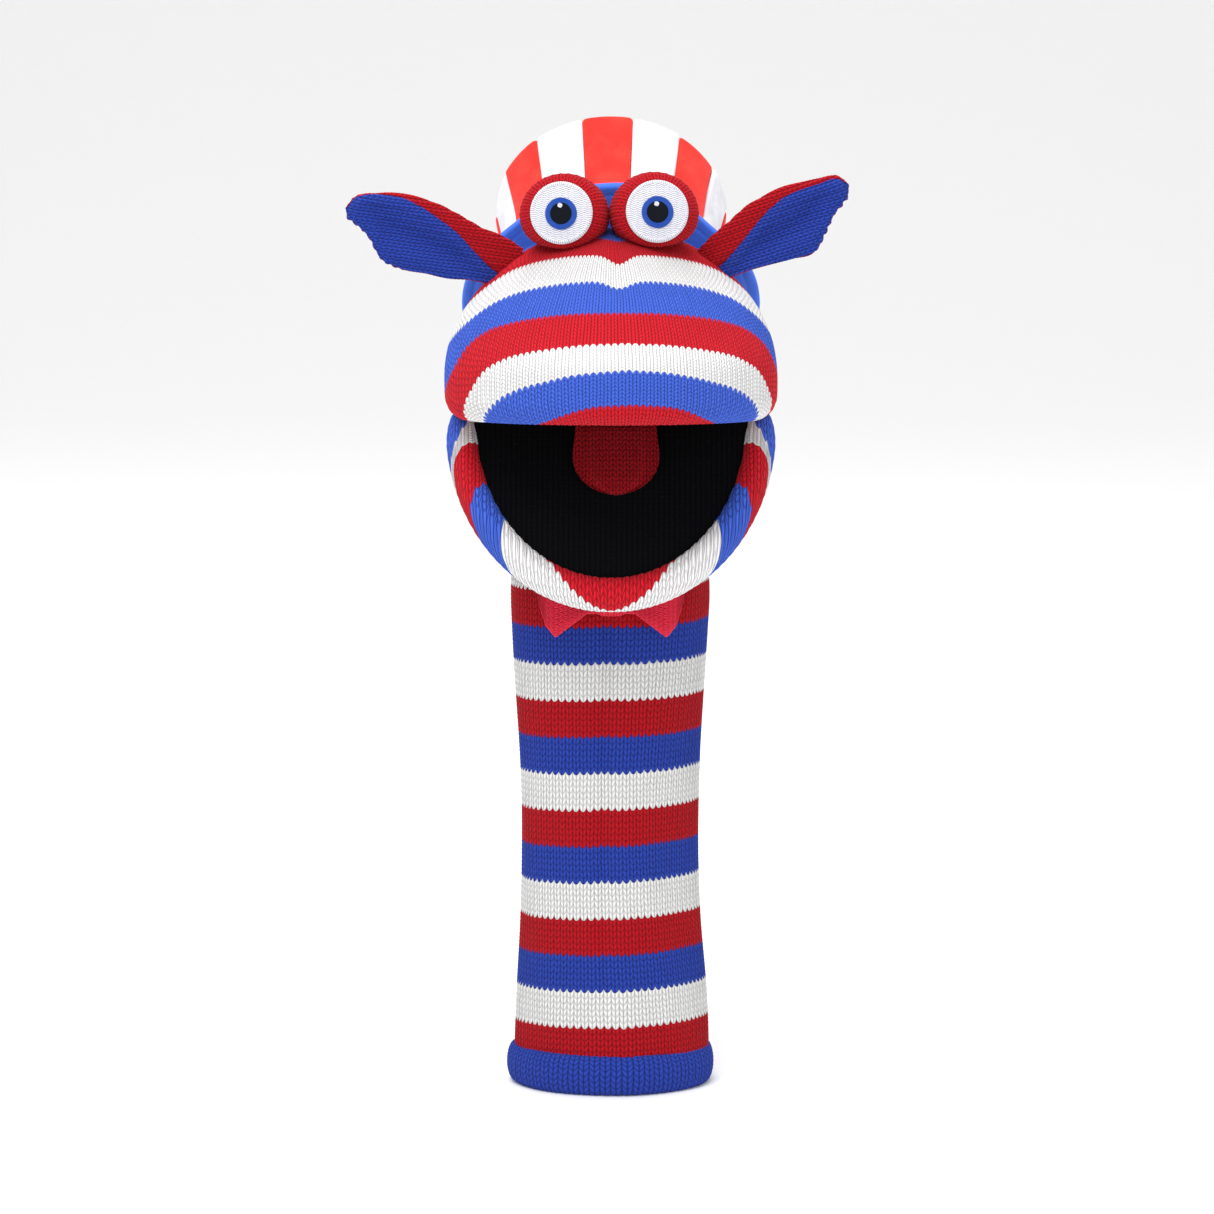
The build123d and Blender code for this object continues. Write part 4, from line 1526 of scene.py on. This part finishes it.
class Bow(Maker):
    """The bow tie: a knot and two flared wings."""

    middle: float = 206.0
    back: float = -25.2

    def wing(self, side: Side) -> bpy.types.Object:
        """One wing, pleated towards the knot."""

        def shape(u: Array, v: Array) -> Array:
            """The places of the points at u and v."""
            theta = u * 2 * math.pi
            run = 3.0 + v * 27.0
            top = np.interp(v, (0, 0.2, 0.8, 1), (5.0, 6.4, 12.2, 13.4))
            low = np.interp(v, (0, 0.25, 0.72, 0.86, 1), (-3.4, -3.6, -13.2, -8.5, 3.5))
            off = (top + low) / 2 + (top - low) / 2 * np.cos(theta)
            thick = (
                3.3 * np.sqrt(np.clip(1 - np.abs(np.cos(theta)) ** 4, 0, 1))
                * ease(1.0, 0.72, v)
            )
            sign = np.sign(np.sin(theta))
            pleat = 0.7 * np.cos(off / 2.6 * (1.6 - v)) * ease(0.9, 0.1, v) * (sign > 0)
            out = 3.2 + sign * thick - pleat + 1.2 * ease(0.3, 0.9, v)
            return points(side.value * run, self.back - out, self.middle + off)

        def stitch(u: Array, v: Array) -> tuple[Array, Array]:
            """The cloth's own coordinates at u and v."""
            return np.cos(u * 2 * math.pi) * 5.5, (3.0 + v * 27.0) / 1.9

        def relief(u: Array, v: Array) -> Array:
            """How far the stitches stand out at u and v."""
            return rib_relief(*stitch(u, v), height=0.2) * ease(1.0, 0.93, v)

        sewn = Sewing(
            f"bow_wing_{side.word}_knit", 132, 66, shape, stitch, relief,
            joined=True, solid=True, turned=side is Side.LEFT,
        )
        piece = self.dress(sewn.make(), "rose_knit", "knit_bow", "neck", [f"bow_wing_{side.word}"])
        return piece

    def knot(self) -> bpy.types.Object:
        """The band wound round the middle."""

        def shape(u: Array, v: Array) -> Array:
            """The places of the points at u and v."""
            theta = u * 2 * math.pi
            x = -5.8 + v * 11.6
            slim = np.sqrt(np.clip(1 - np.abs(v * 2 - 1) ** 3, 0, 1))
            high = 4.9 * (0.72 + 0.28 * slim) * (slim > 0)
            deep = 3.6 * (0.5 + 0.5 * slim)
            return points(
                x, self.back - 3.5 - deep * np.sin(theta), self.middle + high * np.cos(theta)
            )

        def stitch(u: Array, v: Array) -> tuple[Array, Array]:
            """The cloth's own coordinates at u and v."""
            return v * 5.0, u * 20.0

        def relief(u: Array, v: Array) -> Array:
            """How far the stitches stand out at u and v."""
            return rib_relief(*stitch(u, v), height=0.25)

        sewn = Sewing("bow_knot_knit", 90, 40, shape, stitch, relief, joined=True, turned=True)
        piece = self.dress(sewn.make(), "rose_knit", "knit_bow", "neck", ["bow_knot"])
        return piece

    def build(self) -> None:
        """Builds the wings and the knot."""
        for side in Side:
            self.wing(side)
        self.knot()


# ---- studio -----------------------------------------------------------------------------


class Studio:
    """Floor, lights and camera."""

    target: tuple[float, float, float] = (-0.0016, 0.0, 0.200)
    distance: float = 2.0
    elevation: float = 10.0
    width_across: float = 0.49774

    def camera(self) -> None:
        """Places the camera in front of the face, a little above."""
        lens = bpy.data.cameras.new("camera")
        lens.sensor_width = 36.0
        lens.lens = 36.0 * self.distance / self.width_across
        lens.clip_start = 0.1
        lens.clip_end = 20.0
        eye = bpy.data.objects.new("camera", lens)
        rise = math.radians(self.elevation)
        eye.location = (
            self.target[0],
            self.target[1] - self.distance * math.cos(rise),
            self.target[2] + self.distance * math.sin(rise),
        )
        eye.rotation_euler = (math.pi / 2 - rise, 0.0, 0.0)
        bpy.context.scene.collection.objects.link(eye)
        bpy.context.scene.camera = eye

    def floor(self, wardrobe: Wardrobe) -> None:
        """A sheet of paper that sweeps up behind."""
        width, start, flat, sweep = 9000.0, -3000.0, 5000.0, 1600.0

        def shape(u: Array, v: Array) -> Array:
            """The places of the points at u and v."""
            run = v * width
            bend = np.clip((run - flat) / sweep, 0, math.pi / 2)
            y = start + np.minimum(run, flat) + sweep * np.sin(bend)
            z = sweep * (1 - np.cos(bend)) + np.maximum(run - flat - sweep * math.pi / 2, 0)
            return points((u - 0.5) * width, y, z)

        def stitch(u: Array, v: Array) -> tuple[Array, Array]:
            """The cloth's own coordinates at u and v."""
            return u, v

        paper = Sewing("studio_floor", 8, 60, shape, stitch).make()
        paper.data.materials.append(wardrobe["studio_paper"])

    def lamp(self, name: str, place: tuple[float, float, float], size: float, power: float) -> None:
        """A square soft light that looks at the puppet."""
        light = bpy.data.lights.new(name, "AREA")
        light.shape = "SQUARE"
        light.size = size
        light.energy = power
        lamp = bpy.data.objects.new(name, light)
        lamp.location = place
        aim = np.array([0.0, 0.0, 0.22]) - np.array(place)
        flat = math.hypot(aim[0], aim[1])
        lamp.rotation_euler = (math.atan2(flat, -aim[2]), 0.0, math.atan2(-aim[0], aim[1]))
        bpy.context.scene.collection.objects.link(lamp)

    def build(self, wardrobe: Wardrobe) -> None:
        """Builds the studio."""
        self.camera()
        self.floor(wardrobe)
        self.lamp("key_light", (-0.5, -1.1, 1.9), 1.2, 30.0)
        self.lamp("fill_light", (1.4, -1.4, 0.9), 1.4, 5.0)
        self.lamp("top_light", (0.0, 0.3, 1.9), 1.4, 17.0)
        world = bpy.data.worlds.new("studio_world")
        world.use_nodes = True
        sky = world.node_tree.nodes["Background"]
        sky.inputs[0].default_value = (1.0, 1.0, 1.0, 1.0)
        sky.inputs[1].default_value = 0.66
        bpy.context.scene.world = world
        bpy.context.scene.view_settings.view_transform = "Standard"


def main() -> None:
    """Builds the whole puppet and its studio."""
    logging.basicConfig(level=logging.INFO, format="%(message)s")
    wardrobe = Wardrobe()
    Studio().build(wardrobe)
    Head(wardrobe).build()
    Sleeve(wardrobe).build()
    Jaw(wardrobe).build()
    Mouth(wardrobe).build()
    for side in Side:
        Eye(wardrobe, side).build()
        Ear(wardrobe, side).build()
    Hat(wardrobe).build()
    Bow(wardrobe).build()


if __name__ == "__main__":
    main()
